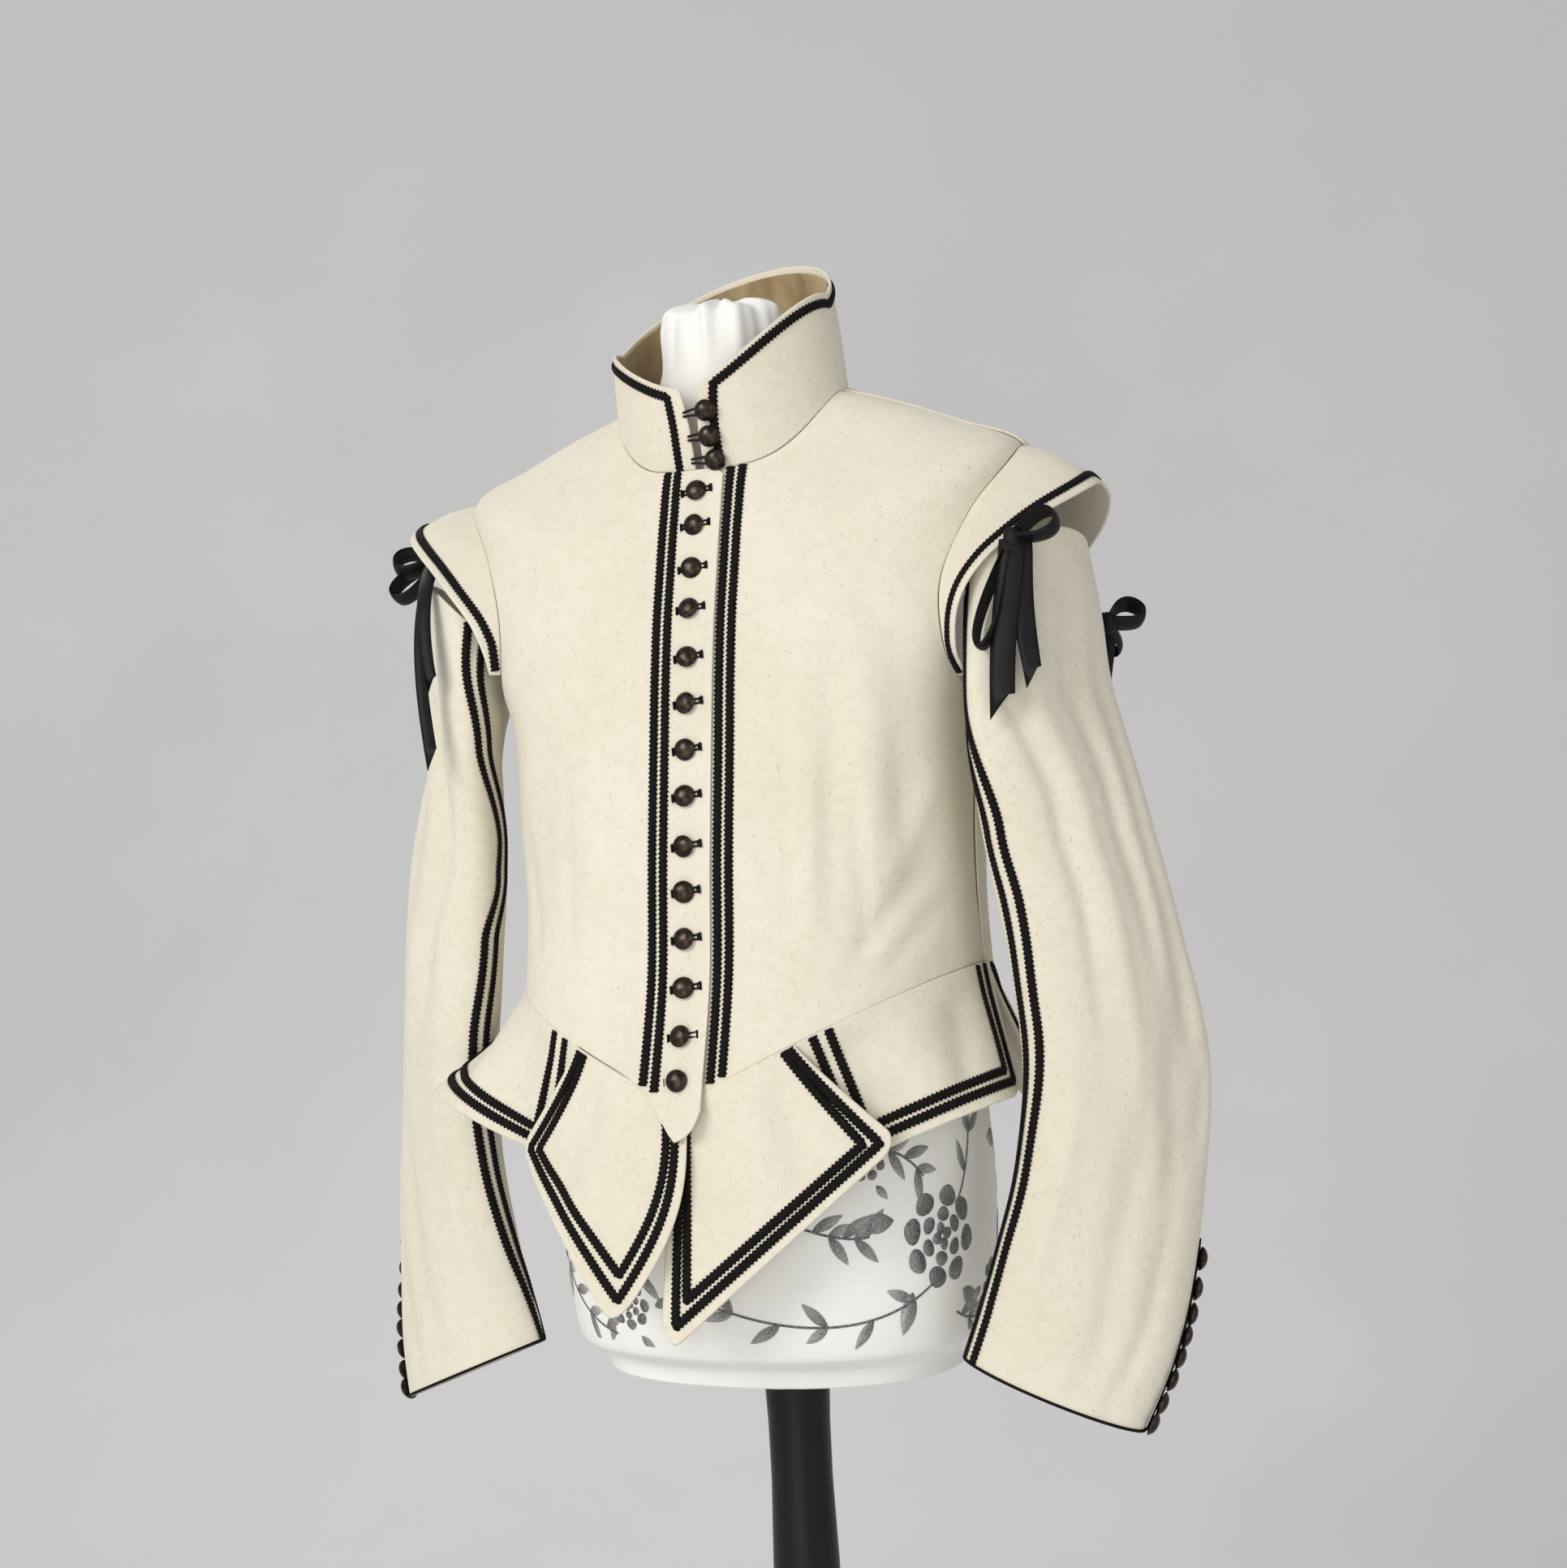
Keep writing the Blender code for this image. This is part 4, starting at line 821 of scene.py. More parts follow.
def make_wool():
    """Felted cream wool: mottled, with fine flecks, a soft nap and a fuzzy edge."""
    material, tree, shader, where = node_material("wool_felt", (0.80, 0.74, 0.58), 0.92, sheen=0.18)
    cloud = noise_node(tree, where, 9, 3)
    colour = ramp_node(tree, cloud, ((0.25, (0.705, 0.648, 0.520)), (0.52, (0.735, 0.682, 0.556)), (0.80, (0.765, 0.716, 0.596))))
    haze = ramp_node(tree, noise_node(tree, where, 120, 4, 0.65), ((0.35, (0.94, 0.93, 0.91)), (0.6, (1.0, 1.0, 1.0))))
    colour = mix_node(tree, "MULTIPLY", 0.75, colour, haze)
    fleck = ramp_node(tree, noise_node(tree, where, 620, 2, 0.6, (1, 1, 0.45)), ((0.28, (0.62, 0.52, 0.38)), (0.36, (1.0, 1.0, 1.0))))
    colour = mix_node(tree, "MULTIPLY", 0.55, colour, fleck)
    tree.links.new(colour, shader.inputs["Base Color"])
    nap = math_node(tree, "ADD", noise_node(tree, where, 900, 3, 0.7), noise_node(tree, where, 260, 3, 0.6, (1, 1, 0.5)))
    bump_node(tree, shader, nap, 0.35, 0.0004)
    return material


def make_lining():
    """Tan lining with a fine twill and soft rubbing."""
    material, tree, shader, where = node_material("lining_twill", (0.42, 0.31, 0.17), 0.85, sheen=0.1)
    cloud = noise_node(tree, where, 26, 3, 0.6, (1, 1, 0.4))
    colour = ramp_node(tree, cloud, ((0.30, (0.230, 0.155, 0.075)), (0.55, (0.400, 0.295, 0.160)), (0.75, (0.520, 0.410, 0.250))))
    tree.links.new(colour, shader.inputs["Base Color"])
    weave = tree.nodes.new("ShaderNodeTexWave")
    weave.inputs["Scale"].default_value = 420
    weave.bands_direction = "DIAGONAL"
    tree.links.new(where, weave.inputs["Vector"])
    bump_node(tree, shader, weave.outputs["Fac"], 0.25, 0.0003)
    return material


def make_braid():
    """Black mohair braid with fine oblique cords."""
    material, tree, shader, where = node_material("braid_black", (0.004, 0.004, 0.004), 0.75, shine=0.12)
    cord = noise_node(tree, where, 900, 2, 0.6)
    colour = ramp_node(tree, cord, ((0.35, (0.0022, 0.0020, 0.0020)), (0.7, (0.0110, 0.0085, 0.0075))))
    tree.links.new(colour, shader.inputs["Base Color"])
    bump_node(tree, shader, cord, 0.6, 0.0005)
    return material


def make_metal():
    """Dark cast buttons, rubbed brighter and browner in patches."""
    material, tree, shader, where = node_material("button_dark_metal", (0.16, 0.14, 0.125), 0.30, metallic=0.95)
    cloud = noise_node(tree, where, 300, 3)
    colour = ramp_node(tree, cloud, ((0.35, (0.026, 0.019, 0.014)), (0.65, (0.070, 0.054, 0.042))))
    tree.links.new(colour, shader.inputs["Base Color"])
    rough = tree.nodes.new("ShaderNodeMapRange")
    tree.links.new(noise_node(tree, where, 500, 3), rough.inputs["Value"])
    rough.inputs["To Min"].default_value = 0.22
    rough.inputs["To Max"].default_value = 0.42
    tree.links.new(rough.outputs["Result"], shader.inputs["Roughness"])
    bump_node(tree, shader, cloud, 0.12, 0.0004)
    return material


def make_ribbon():
    """Black grosgrain ribbon."""
    material, tree, shader, where = node_material("ribbon_black", (0.004, 0.004, 0.0045), 0.5, shine=0.2)
    weave = tree.nodes.new("ShaderNodeTexWave")
    weave.inputs["Scale"].default_value = 500
    weave.bands_direction = "Z"
    tree.links.new(where, weave.inputs["Vector"])
    bump_node(tree, shader, weave.outputs["Fac"], 0.2, 0.0002)
    shade = ramp_node(tree, noise_node(tree, where, 60, 2), ((0.3, (0.003, 0.003, 0.0035)), (0.7, (0.007, 0.007, 0.008))))
    tree.links.new(shade, shader.inputs["Base Color"])
    return material


def make_cover():
    """White cotton cover of the form: plain weave, faintly mottled."""
    material, tree, shader, where = node_material("cover_cotton", (0.84, 0.84, 0.82), 0.62, sheen=0.05)
    cloud = noise_node(tree, where, 14, 3)
    colour = ramp_node(tree, cloud, ((0.3, (0.800, 0.786, 0.745)), (0.7, (0.880, 0.868, 0.830))))
    tree.links.new(colour, shader.inputs["Base Color"])
    weave = math_node(tree, "ADD", noise_node(tree, where, 1400, 1, 0.5, (1, 1, 0.25)), noise_node(tree, where, 1400, 1, 0.5, (0.3, 0.3, 1)))
    bump_node(tree, shader, weave, 0.12, 0.0002)
    return material


def make_print():
    """Charcoal stencil print, shaded by the colour stored in each motif and broken up by the weave."""
    material, tree, shader, where = node_material("cover_print", (0.1, 0.1, 0.1), 0.65)
    shade = tree.nodes.new("ShaderNodeVertexColor")
    shade.layer_name = "shade"
    grain = ramp_node(tree, noise_node(tree, where, 1300, 2, 0.6), ((0.40, (0.0, 0.0, 0.0)), (0.66, (0.42, 0.42, 0.41))))
    colour = mix_node(tree, "ADD", 0.6, shade.outputs["Color"], grain)
    tree.links.new(colour, shader.inputs["Base Color"])
    return material


def make_paint():
    """Black satin paint with a faint orange peel."""
    material, tree, shader, where = node_material("stand_black", (0.006, 0.005, 0.006), 0.38, shine=0.25)
    bump_node(tree, shader, noise_node(tree, where, 220, 2), 0.06, 0.0004)
    shade = ramp_node(tree, noise_node(tree, where, 6, 3), ((0.3, (0.0035, 0.003, 0.0035)), (0.7, (0.008, 0.0065, 0.0075))))
    tree.links.new(shade, shader.inputs["Base Color"])
    return material


WOOL, LINING, BRAID, METAL = make_wool(), make_lining(), make_braid(), make_metal()
RIBBON, COVER, PRINT, PAINT = make_ribbon(), make_cover(), make_print(), make_paint()


def make_body():
    """Fronts and back, with the rows of braid beside the opening."""
    rest = [BAND_END + s for s in span(0.03, 1.0, 44)]
    levels = span(0, 10, 104)
    crease_left, crease_right, crease_back = body_crease(1), body_crease(-1), body_crease(0)

    def right_surface(u, v):
        reach = 1 - smooth_step(-0.004, RIGHT_PAIR + PAIR_WIDTH, u)
        corner = max(0.0, (-0.008 - u) / 0.010)
        low = -0.97 * reach * math.sqrt(max(0.0, 1 - 0.75 * min(1.0, corner) ** 2))
        high = 10 - 0.42 * max(0.0, (-0.007 - u) / 0.011) ** 2.2
        return front_point(-1, u, low + (high - low) * v)

    us = [-LAP_EDGE, -0.0165, -0.0145, -0.012, -0.009, -0.006, -0.003, 0, 0.004, 0.008, 0.0125, 0.017, 0.022, 0.0265, 0.031, 0.036]
    panel("front_right", right_surface, us + rest, span(0, 1, 112), True, crease_right, WOOL, "wool")

    def left_surface(u, level):
        return front_point(1, u, level)

    us = [UNDER_EDGE, -0.002, 0.004, 0.010, 0.016, 0.0195, 0.024, 0.029, 0.0335, 0.037]
    panel("front_left", left_surface, us + rest, levels, False, crease_left, WOOL, "wool")
    panel("back", back_point, span(-1, 1, 84), levels, False, crease_back, WOOL, "wool")

    def rows(side, start, low):
        paths = []
        for offset in (PAIR_WIDTH / 2 - ROW_STEP / 2, PAIR_WIDTH / 2 + ROW_STEP / 2):
            places = [(start + offset, level) for level in span(low, 9.93, 150)]
            surface = lambda u, v: front_point(side, u, v)
            paths.append(path_on(surface, places, side < 0, crease_left if side > 0 else crease_right))
        return paths

    braid("braid_front_right_rows", rows(-1, RIGHT_PAIR, 0.03), ["braid_front_right"], BRAID)
    braid("braid_front_left_rows", rows(1, LEFT_PAIR, 0.06), ["braid_front_left"], BRAID)


def make_collar():
    """Collar, its turned rim, the lining inside and one row of braid."""
    crease = plain_crease(22, 0.0007)
    turns = [0, 1.2, 3, 5.5, 8] + span(11, 349, 96) + [352, 354.5, 357, 358.8, 360]
    panel("collar", collar_point, turns, span(0, 2, 26), False, crease, WOOL, "wool")

    def lining_crease(u, v, point):
        wave = noise.noise(Vector((u * 0.09, v * 0.7, 4))) * 0.0016 + noise.noise(Vector((u * 0.25, v * 0.9, 9))) * 0.0007
        return -abs(wave)
    panel("collar_lining", collar_point, span(5, 355, 110), span(0.02, 1.86, 22), False, lining_crease, LINING, "lining",
          LINING_WALL, -WALL - SEAM)

    def rim_level(turn):
        high, low = collar_point(turn, 2), collar_point(turn, 1.5)
        return 2 - 0.5 * 0.0078 / max((high - low).length, 1e-4)

    edge = 8.0
    places = [(edge, v) for v in span(0.0, rim_level(edge), 30)][:-1]
    places += [(turn, rim_level(turn)) for turn in span(edge, 360 - edge, 150)]
    places += [(360 - edge, v) for v in reversed(span(0.0, rim_level(360 - edge), 30))][1:]
    braid("braid_collar_row", [path_on(collar_point, places, False, crease, (1.0, 0.02))], ["braid_collar"], BRAID)


WING_MARGIN = 0.0076


def make_wings():
    """Two-layer shoulder wings with a row of braid near the free edge."""
    for side, word in ((1, "left"), (-1, "right")):
        def surface(along, out, side=side):
            return wing_point(side, along, out)
        crease = plain_crease(18, 0.0010)
        panel(f"wing_{word}", surface, span(0, 1, 90), span(0, 1, 14), side > 0, crease, WOOL, "wool",
              0.0021)
        places = []
        for along in span(0.01, 0.99, 120):
            reach = (surface(along, 1) - surface(along, 0)).length
            places.append((along, max(0.45, 1 - WING_MARGIN / reach)))
        braid(f"braid_wing_{word}_row", [path_on(surface, places, side > 0, crease, (0.01, 0.02))], [f"braid_wing_{word}"], BRAID)


def make_sleeves():
    """Two-piece sleeves with a row of braid on each side of the front seam."""
    edge = math.degrees(SEAM / 2 / 0.03)
    for side, word in ((1, "left"), (-1, "right")):
        def surface(turn, place, side=side):
            return sleeve_point(side, turn, place)
        crease = sleeve_crease(side)
        flip = side > 0
        for part, sign in (("upper", 1), ("under", -1)):
            turns = [sign * t for t in [edge, 4, 9, 14] + span(19, 164, 48) + [170, 175, 180 - edge]]
            panel(f"sleeve_{part}_{word}", surface, turns, span(0, 9, 116), flip == (sign > 0), crease, WOOL, "wool")
            places = [(sign * 9, place) for place in span(0.02, 8.97, 240)]
            name = f"braid_sleeve_{part}_{word}"
            braid(name + "_row", [path_on(surface, places, flip, crease, (1.0, 0.02))], [name], BRAID)


def tab_fine(tab, across, down):
    """Tab surface by metres from the front edge and from the top, with corners rounded by CORNER."""
    width = max(0.05, (tab_surface(tab, 1, 0.8) - tab_surface(tab, 0, 0.8)).length)
    length = (tab_surface(tab, 0.5, 1) - tab_surface(tab, 0.5, 0)).length
    side_gap, other_gap, low_gap = across * width, (1 - across) * width, (1 - down) * length
    near = min(side_gap, other_gap)
    if low_gap < CORNER and near < CORNER:
        a, b = (CORNER - near) / CORNER, (CORNER - low_gap) / CORNER
        near += CORNER * a * (1 - math.sqrt(1 - b * b / 2))
        low_gap += CORNER * b * (1 - math.sqrt(1 - a * a / 2))
        across = near / width if side_gap < other_gap else 1 - near / width
        down = 1 - low_gap / length
    return tab_surface(tab, across, down)


CORNER = 0.014


def make_tabs():
    """Skirt tabs, each with its pair of braids round the free edges."""
    for number, tab in enumerate(TABS):
        right_hand = TABS[tab][0] > TABS[tab][1]
        flip = not right_hand
        width = max(0.05, (tab_surface(tab, 1, 0.8) - tab_surface(tab, 0, 0.8)).length)
        length = (tab_surface(tab, 0.5, 1) - tab_surface(tab, 0.5, 0)).length

        def surface(u, v, tab=tab):
            return tab_fine(tab, u, v)

        def crease(u, v, point, number=number):
            wave = noise.noise(point * 16 + Vector((number * 3.1, 0, 0))) * 0.0012
            deep = 1.5 if number in (2, 3) else 1.0
            return (line_height(TAB_CREASES, u + 0.03 * (number % 3), v) * deep + wave) * smooth_step(0, 0.25, v)
        panel(tab, surface, span(0, 1, 44), span(0, 1, 36), flip, crease, WOOL, "wool")
        paths = []
        top = 0.10 if "front" in tab else 0.004
        for margin in (BRAID_MARGIN + PAIR_WIDTH / 2 - ROW_STEP / 2, BRAID_MARGIN + PAIR_WIDTH / 2 + ROW_STEP / 2):
            a, b, bend = margin / width, 1 - margin / length, 0.0045
            corner = [(a, top * (1 if number < 2 else 1)), (a, b), (1 - a, b), (1 - a, 0.004)]
            places = []
            for (u0, v0), (u1, v1) in zip(corner, corner[1:]):
                places += [(u0 + (u1 - u0) * t, v0 + (v1 - v0) * t) for t in span(0, 1, 60)][:-1]
            places.append(corner[-1])
            paths.append(path_on(surface, places, flip, crease, (0.01, 0.01)))
        braid(f"braid_{tab}_rows", paths, ["braid_" + tab], BRAID)


def lathe(name, profile, segments, material, place=None):
    """A turned piece from radii and heights."""
    verts, faces = [(0, 0, profile[0][1])], []
    rings = []
    for radius, height in profile:
        rings.append(len(verts))
        verts += [(radius * math.cos(2 * math.pi * k / segments), radius * math.sin(2 * math.pi * k / segments), height)
                  for k in range(segments)]
    verts.append((0, 0, profile[-1][1]))
    last = len(verts) - 1
    for k in range(segments):
        n = (k + 1) % segments
        faces.append((0, rings[0] + n, rings[0] + k))
        faces.append((last, rings[-1] + k, rings[-1] + n))
        for low, high in zip(rings, rings[1:]):
            faces.append((low + k, low + n, high + n, high + k))
    if place is not None:
        verts = [(place @ Vector(v))[:] for v in verts]
    piece = new_object(name, verts, faces, material)
    fix_facing(piece)
    return piece


def dome(radius, height):
    """Radii and heights of a domed button with a rolled edge, underside first."""
    return [
        (0.30 * radius, 0.0), (0.78 * radius, 0.16 * height), (0.96 * radius, 0.24 * height), (1.0 * radius, 0.32 * height),
        (0.985 * radius, 0.41 * height), (0.93 * radius, 0.47 * height), (0.86 * radius, 0.60 * height),
        (0.74 * radius, 0.74 * height), (0.56 * radius, 0.88 * height), (0.34 * radius, 0.97 * height), (0.12 * radius, height),
    ]


def standing(point, normal, spin=0.0):
    """Matrix that puts a turned piece on a surface."""
    return Matrix.Translation(point) @ normal.to_track_quat("Z", "Y").to_matrix().to_4x4() @ Matrix.Rotation(spin, 4, "Z")


def tube(points, radius, sides=8):
    """Vertices and faces of a round cord through points, closed at both ends."""
    points = np.array([p[:] for p in points])
    way = np.gradient(points, axis=0)
    way /= np.linalg.norm(way, axis=1, keepdims=True)
    start = np.array([0.3, 0.2, 0.93])
    verts, faces = [], []
    for j, (point, ahead) in enumerate(zip(points, way)):
        one = np.cross(ahead, start)
        one /= np.linalg.norm(one)
        two = np.cross(ahead, one)
        for k in range(sides):
            angle = 2 * math.pi * k / sides
            verts.append(point + one * radius * math.cos(angle) + two * radius * math.sin(angle))
    for j in range(len(points) - 1):
        for k in range(sides):
            n = (k + 1) % sides
            faces.append((j * sides + k, j * sides + n, (j + 1) * sides + n, (j + 1) * sides + k))
    faces.append(tuple(range(sides - 1, -1, -1)))
    faces.append(tuple(range((len(points) - 1) * sides, len(points) * sides)))
    return verts, faces


def joined(name, parts, material):
    verts, faces, start = [], [], 0
    for part, part_faces in parts:
        verts += [tuple(v) for v in part]
        faces += [tuple(start + k for k in face) for face in part_faces]
        start += len(part)
    piece = new_object(name, verts, faces, material)
    fix_facing(piece)
    return piece


BODY_BUTTON = 0.0074
BUTTON_LEANS = ((0.10, 0, 0.06), (-0.08, 0, -0.16), (0.14, 0, -0.08), (-0.05, 0, 0.10), (0.16, 0, 0.12), (-0.12, 0, 0.04), (0.04, 0, -0.12))
# How far each buttonhole shows beyond its button: towards the wearer's left, and on the other side
HOLE_ENDS = (
    (0.0034, 0.0034), (0.0036, 0.0022), (0.0036, 0.0020), (0.0038, 0.0014), (0.0036, 0.0016), (0.0042, 0.0012),
    (0.0036, 0.0016), (0.0040, 0.0014), (0.0046, 0.0012), (0.0038, 0.0010), (0.0042, 0.0014), (0.0046, 0.0016),
    (0.0044, 0.0016), (0.0046, 0.0020),
)
HOLE_SLANT = 0.13


def make_buttons():
    """Front and collar buttons with the stitched ends of their holes and the loops on the collar."""
    holes = []
    for number, height in enumerate(BUTTON_HEIGHTS):
        level = level_of_height(height)
        normal = -surface_normal(lambda u, v: front_point(-1, u, v), 0, level, 0.002, 0.02)
        point = front_point(-1, 0, level)
        lift = SEAM * (1.5 + 1.2 * max(0, number - 10))
        piece = lathe(f"button_{number + 1:02d}_dome", dome(BODY_BUTTON, BUTTON_HEIGHT * 0.86), 40, METAL,
                      standing(point + normal * lift, normal + Vector(BUTTON_LEANS[number % 7])))
        keep_piece(piece, "button_metal", f"button_{number + 1:02d}")
        right = (Vector((1, 0, HOLE_SLANT)) - normal * (normal.x + HOLE_SLANT * normal.z)).normalized()
        up = right.cross(normal).normalized() * -1
        for reach, sign in zip(HOLE_ENDS[number], (1, -1)):
            if reach == 0:
                continue
            far = BODY_BUTTON + reach
            for offset in (-0.0020, 0.0020):
                line = [point + right * sign * s + up * offset * (0.6 + 0.4 * (s - 0.004) / far) + normal * 0.0007
                        for s in span(0.004, far, 6)]
                holes.append(tube(line, 0.0007, 6))
            line = [point + right * sign * far + up * s + normal * 0.0008 for s in span(-0.0027, 0.0027, 6)]
            holes.append(tube(line, 0.0010, 6))
            line = [point + right * sign * (far - reach * 0.45) + up * s + normal * 0.0006 for s in span(-0.0016, 0.0016, 4)]
            holes.append(tube(line, 0.0005, 6))
    piece = joined("buttonhole_stitches", holes, BRAID)
    keep_piece(piece, "braid")
    loops = []
    for number, (turn, level) in enumerate(COLLAR_BUTTON_PLACES):
        normal = surface_normal(collar_point, turn, level, 1.0, 0.02)
        point = collar_point(turn, level)
        piece = lathe(f"button_collar_{number + 1}_dome", dome(COLLAR_BUTTON_RADIUS, BUTTON_HEIGHT), 40, METAL,
                      standing(point + normal * (BRAID_WALL + 2.5 * SEAM), normal))
        keep_piece(piece, "button_metal", f"button_collar_{number + 1}")
        start = collar_point(360 - 1.0, level + 0.02) + normal * 0.0004
        for offset in (-0.0016, 0.0016):
            end = point + normal * 0.0030 + Vector((0, 0, offset))
            way = [start.lerp(end, t) + Vector((0, -0.0012 * math.sin(math.pi * t), offset * 0.8)) for t in span(0, 1, 8)]
            loops.append(tube(way, 0.0009, 7))
    piece = joined("collar_loops", loops, RIBBON)
    keep_piece(piece, "ribbon")


def make_sleeve_buttons():
    """The braid up each back seam with its row of buttons."""
    for side, word in ((1, "left"), (-1, "right")):
        def surface(turn, place, side=side):
            return sleeve_point(side, turn, place)
        low = SLEEVE_ROW_START - SLEEVE_ROW_STEP * (SLEEVE_BUTTONS - 0.4)
        places = [(180, place) for place in span(low, 8.97, 60)]
        points, normals = path_on(surface, places, side > 0, None, (1.0, 0.02))
        part, part_faces = braid_parts(points, normals)
        row = joined(f"sleeve_buttons_{word}_braid", [(part, part_faces)], BRAID)
        keep_piece(row, "braid", f"sleeve_buttons_{word}")
        for number in range(SLEEVE_BUTTONS):
            place = SLEEVE_ROW_START - SLEEVE_ROW_STEP * number
            normal = surface_normal(surface, 180, place, 1.0, 0.02) * (-1 if side > 0 else 1)
            piece = lathe(f"sleeve_button_{word}_{number + 1}_dome", dome(SLEEVE_BUTTON_RADIUS, BUTTON_HEIGHT), 36, METAL,
                          standing(surface(180, place) + normal * 0.0012, normal))
            keep_piece(piece, "button_metal")


def make_cuff_edges():
    """Narrow black edging round each cuff."""
    for side, word in ((1, "left"), (-1, "right")):
        loop = []
        for k in range(121):
            turn = 3 * k
            turn = turn if turn <= 180 else turn - 360
            normal = surface_normal(lambda t, p: sleeve_point(side, t, p), turn, 8.97, 1.0, 0.02) * (-1 if side > 0 else 1)
            loop.append(sleeve_point(side, turn, 8.985) + normal * 0.0004)
        piece = joined(f"cuff_edge_{word}", [tube(loop, 0.0011, 6)], BRAID)
        keep_piece(piece, "braid")


def ribbon_part(path, across, widths, cut=0.0, cup=0.0012):
    """A ribbon along a path: across is one direction or one for each end, cut slants or notches its far end."""
    first, last = across if isinstance(across, tuple) else (across, across)
    count = len(path)
    rows = ([], [])
    for j, point in enumerate(path):
        t = j / (count - 1)
        width = widths[0] + (widths[1] - widths[0]) * t
        way = (path[min(j + 1, count - 1)] - path[max(j - 1, 0)]).normalized()
        side = first.lerp(last, t)
        side = (side - way * side.dot(way)).normalized()
        face = way.cross(side)
        for layer in (0, 1):
            row = []
            for share in (-1, -0.5, 0, 0.5, 1):
                place = point + side * share * width / 2 + face * (cup * (1 - share * share) + (0.00035 if layer == 0 else -0.00035))
                if j == count - 1:
                    place = place + way * cut * (abs(share) - 0.5 if cut > 0 else share * 0.5 * 2)
                row.append(place[:])
            rows[layer].append(row)
    out, inn = np.array(rows[0]), np.array(rows[1])
    across_count = out.shape[1]
    size = count * across_count
    verts = np.concatenate([out.reshape(-1, 3), inn.reshape(-1, 3)])
    faces = []
    for j in range(count - 1):
        for i in range(across_count - 1):
            a = j * across_count + i
            faces.append((a, a + 1, a + across_count + 1, a + across_count))
            faces.append((size + a + across_count, size + a + across_count + 1, size + a + 1, size + a))
    for j in range(count - 1):
        for i, turn in ((0, 1), (across_count - 1, -1)):
            a, b = j * across_count + i, (j + 1) * across_count + i
            face = (a, b, size + b, size + a)
            faces.append(face if turn > 0 else face[::-1])
    for j, turn in ((0, -1), (count - 1, 1)):
        for i in range(across_count - 1):
            a = j * across_count + i
            face = (a, a + 1, size + a + 1, size + a)
            faces.append(face[::-1] if turn > 0 else face)
    return verts, faces


# Ribbon widths at the start and end of each loop, then of each tail
BOW_WIDTHS = {
    "bow_left_front": (((0.013, 0.013), (0.013, 0.014)), ((0.018, 0.0165), (0.021, 0.012))),
    "bow_left_back": (((0.014, 0.014), (0.009, 0.009)), ((0.008, 0.008),)),
    "bow_right": (((0.016, 0.016), (0.013, 0.013)), ((0.0125, 0.0095), (0.006, 0.009))),
}


def make_bows():
    """Ribbon bows that tie the sleeves to the armholes."""
    for name, bow in BOWS.items():
        knot_at = Vector(bow["knot"])
        parts = []
        length = 0.0
        for number, (end, swing) in enumerate(bow["loops"]):
            reach = Vector(end) - knot_at
            across = Vector((0.15, -0.75, 0.62)).cross(reach).cross(reach)
            side_way = reach.cross(across).normalized() * swing
            path = []
            for turn in span(0.04 * math.pi, 0.96 * math.pi, 40):
                path.append(knot_at + reach * math.sin(turn) + side_way * math.sin(2 * turn) * 0.6)
            twist = across.normalized() + Vector((0.12, 0.05, -0.15)) * (1 if number else -1)
            parts.append(ribbon_part(path, (across.normalized(), twist), BOW_WIDTHS[name][0][number]))
            length += sum((b - a).length for a, b in zip(path, path[1:]))
        for number, end in enumerate(bow["tails"]):
            end = Vector(end)
            reach = end - knot_at
            middle = knot_at + Vector((reach.x * 0.45, reach.y * 0.92, reach.z * 0.12))
            path = [knot_at.lerp(middle, t).lerp(middle.lerp(end, t), t) for t in span(0.02, 1, 30)]
            path = [p + Vector((math.sin(5 * t / 30 + number) * 0.0016, 0, 0)) for t, p in enumerate(path)]
            parts.append(ribbon_part(path, (Vector((1, 0.15, 0)), Vector((0.9, 0.15 + 0.35 * number, 0.2))),
                                     BOW_WIDTHS[name][1][number], -0.008 if name == "bow_right" or number else -0.011))
            length += sum((b - a).length for a, b in zip(path, path[1:]))
        profile = [(0.003, -0.0072), (0.0054, -0.0060), (0.0064, -0.002), (0.0066, 0.002), (0.0056, 0.0060), (0.003, 0.0072)]
        verts, faces = [], []
        for radius, height in profile:
            verts += [(radius * (1 + 0.10 * math.sin(5 * k / 20 * math.tau)) * math.cos(k / 20 * math.tau),
                       radius * 0.8 * math.sin(k / 20 * math.tau), height) for k in range(20)]
        for r in range(len(profile) - 1):
            faces += [(r * 20 + k, r * 20 + (k + 1) % 20, (r + 1) * 20 + (k + 1) % 20, (r + 1) * 20 + k) for k in range(20)]
        faces += [tuple(range(19, -1, -1)), tuple(range((len(profile) - 1) * 20, len(profile) * 20))]
        parts.append(([Vector(v) + knot_at for v in verts], faces))
        piece = joined(name + "_ribbon", parts, RIBBON)
        keep_piece(piece, "ribbon", name)


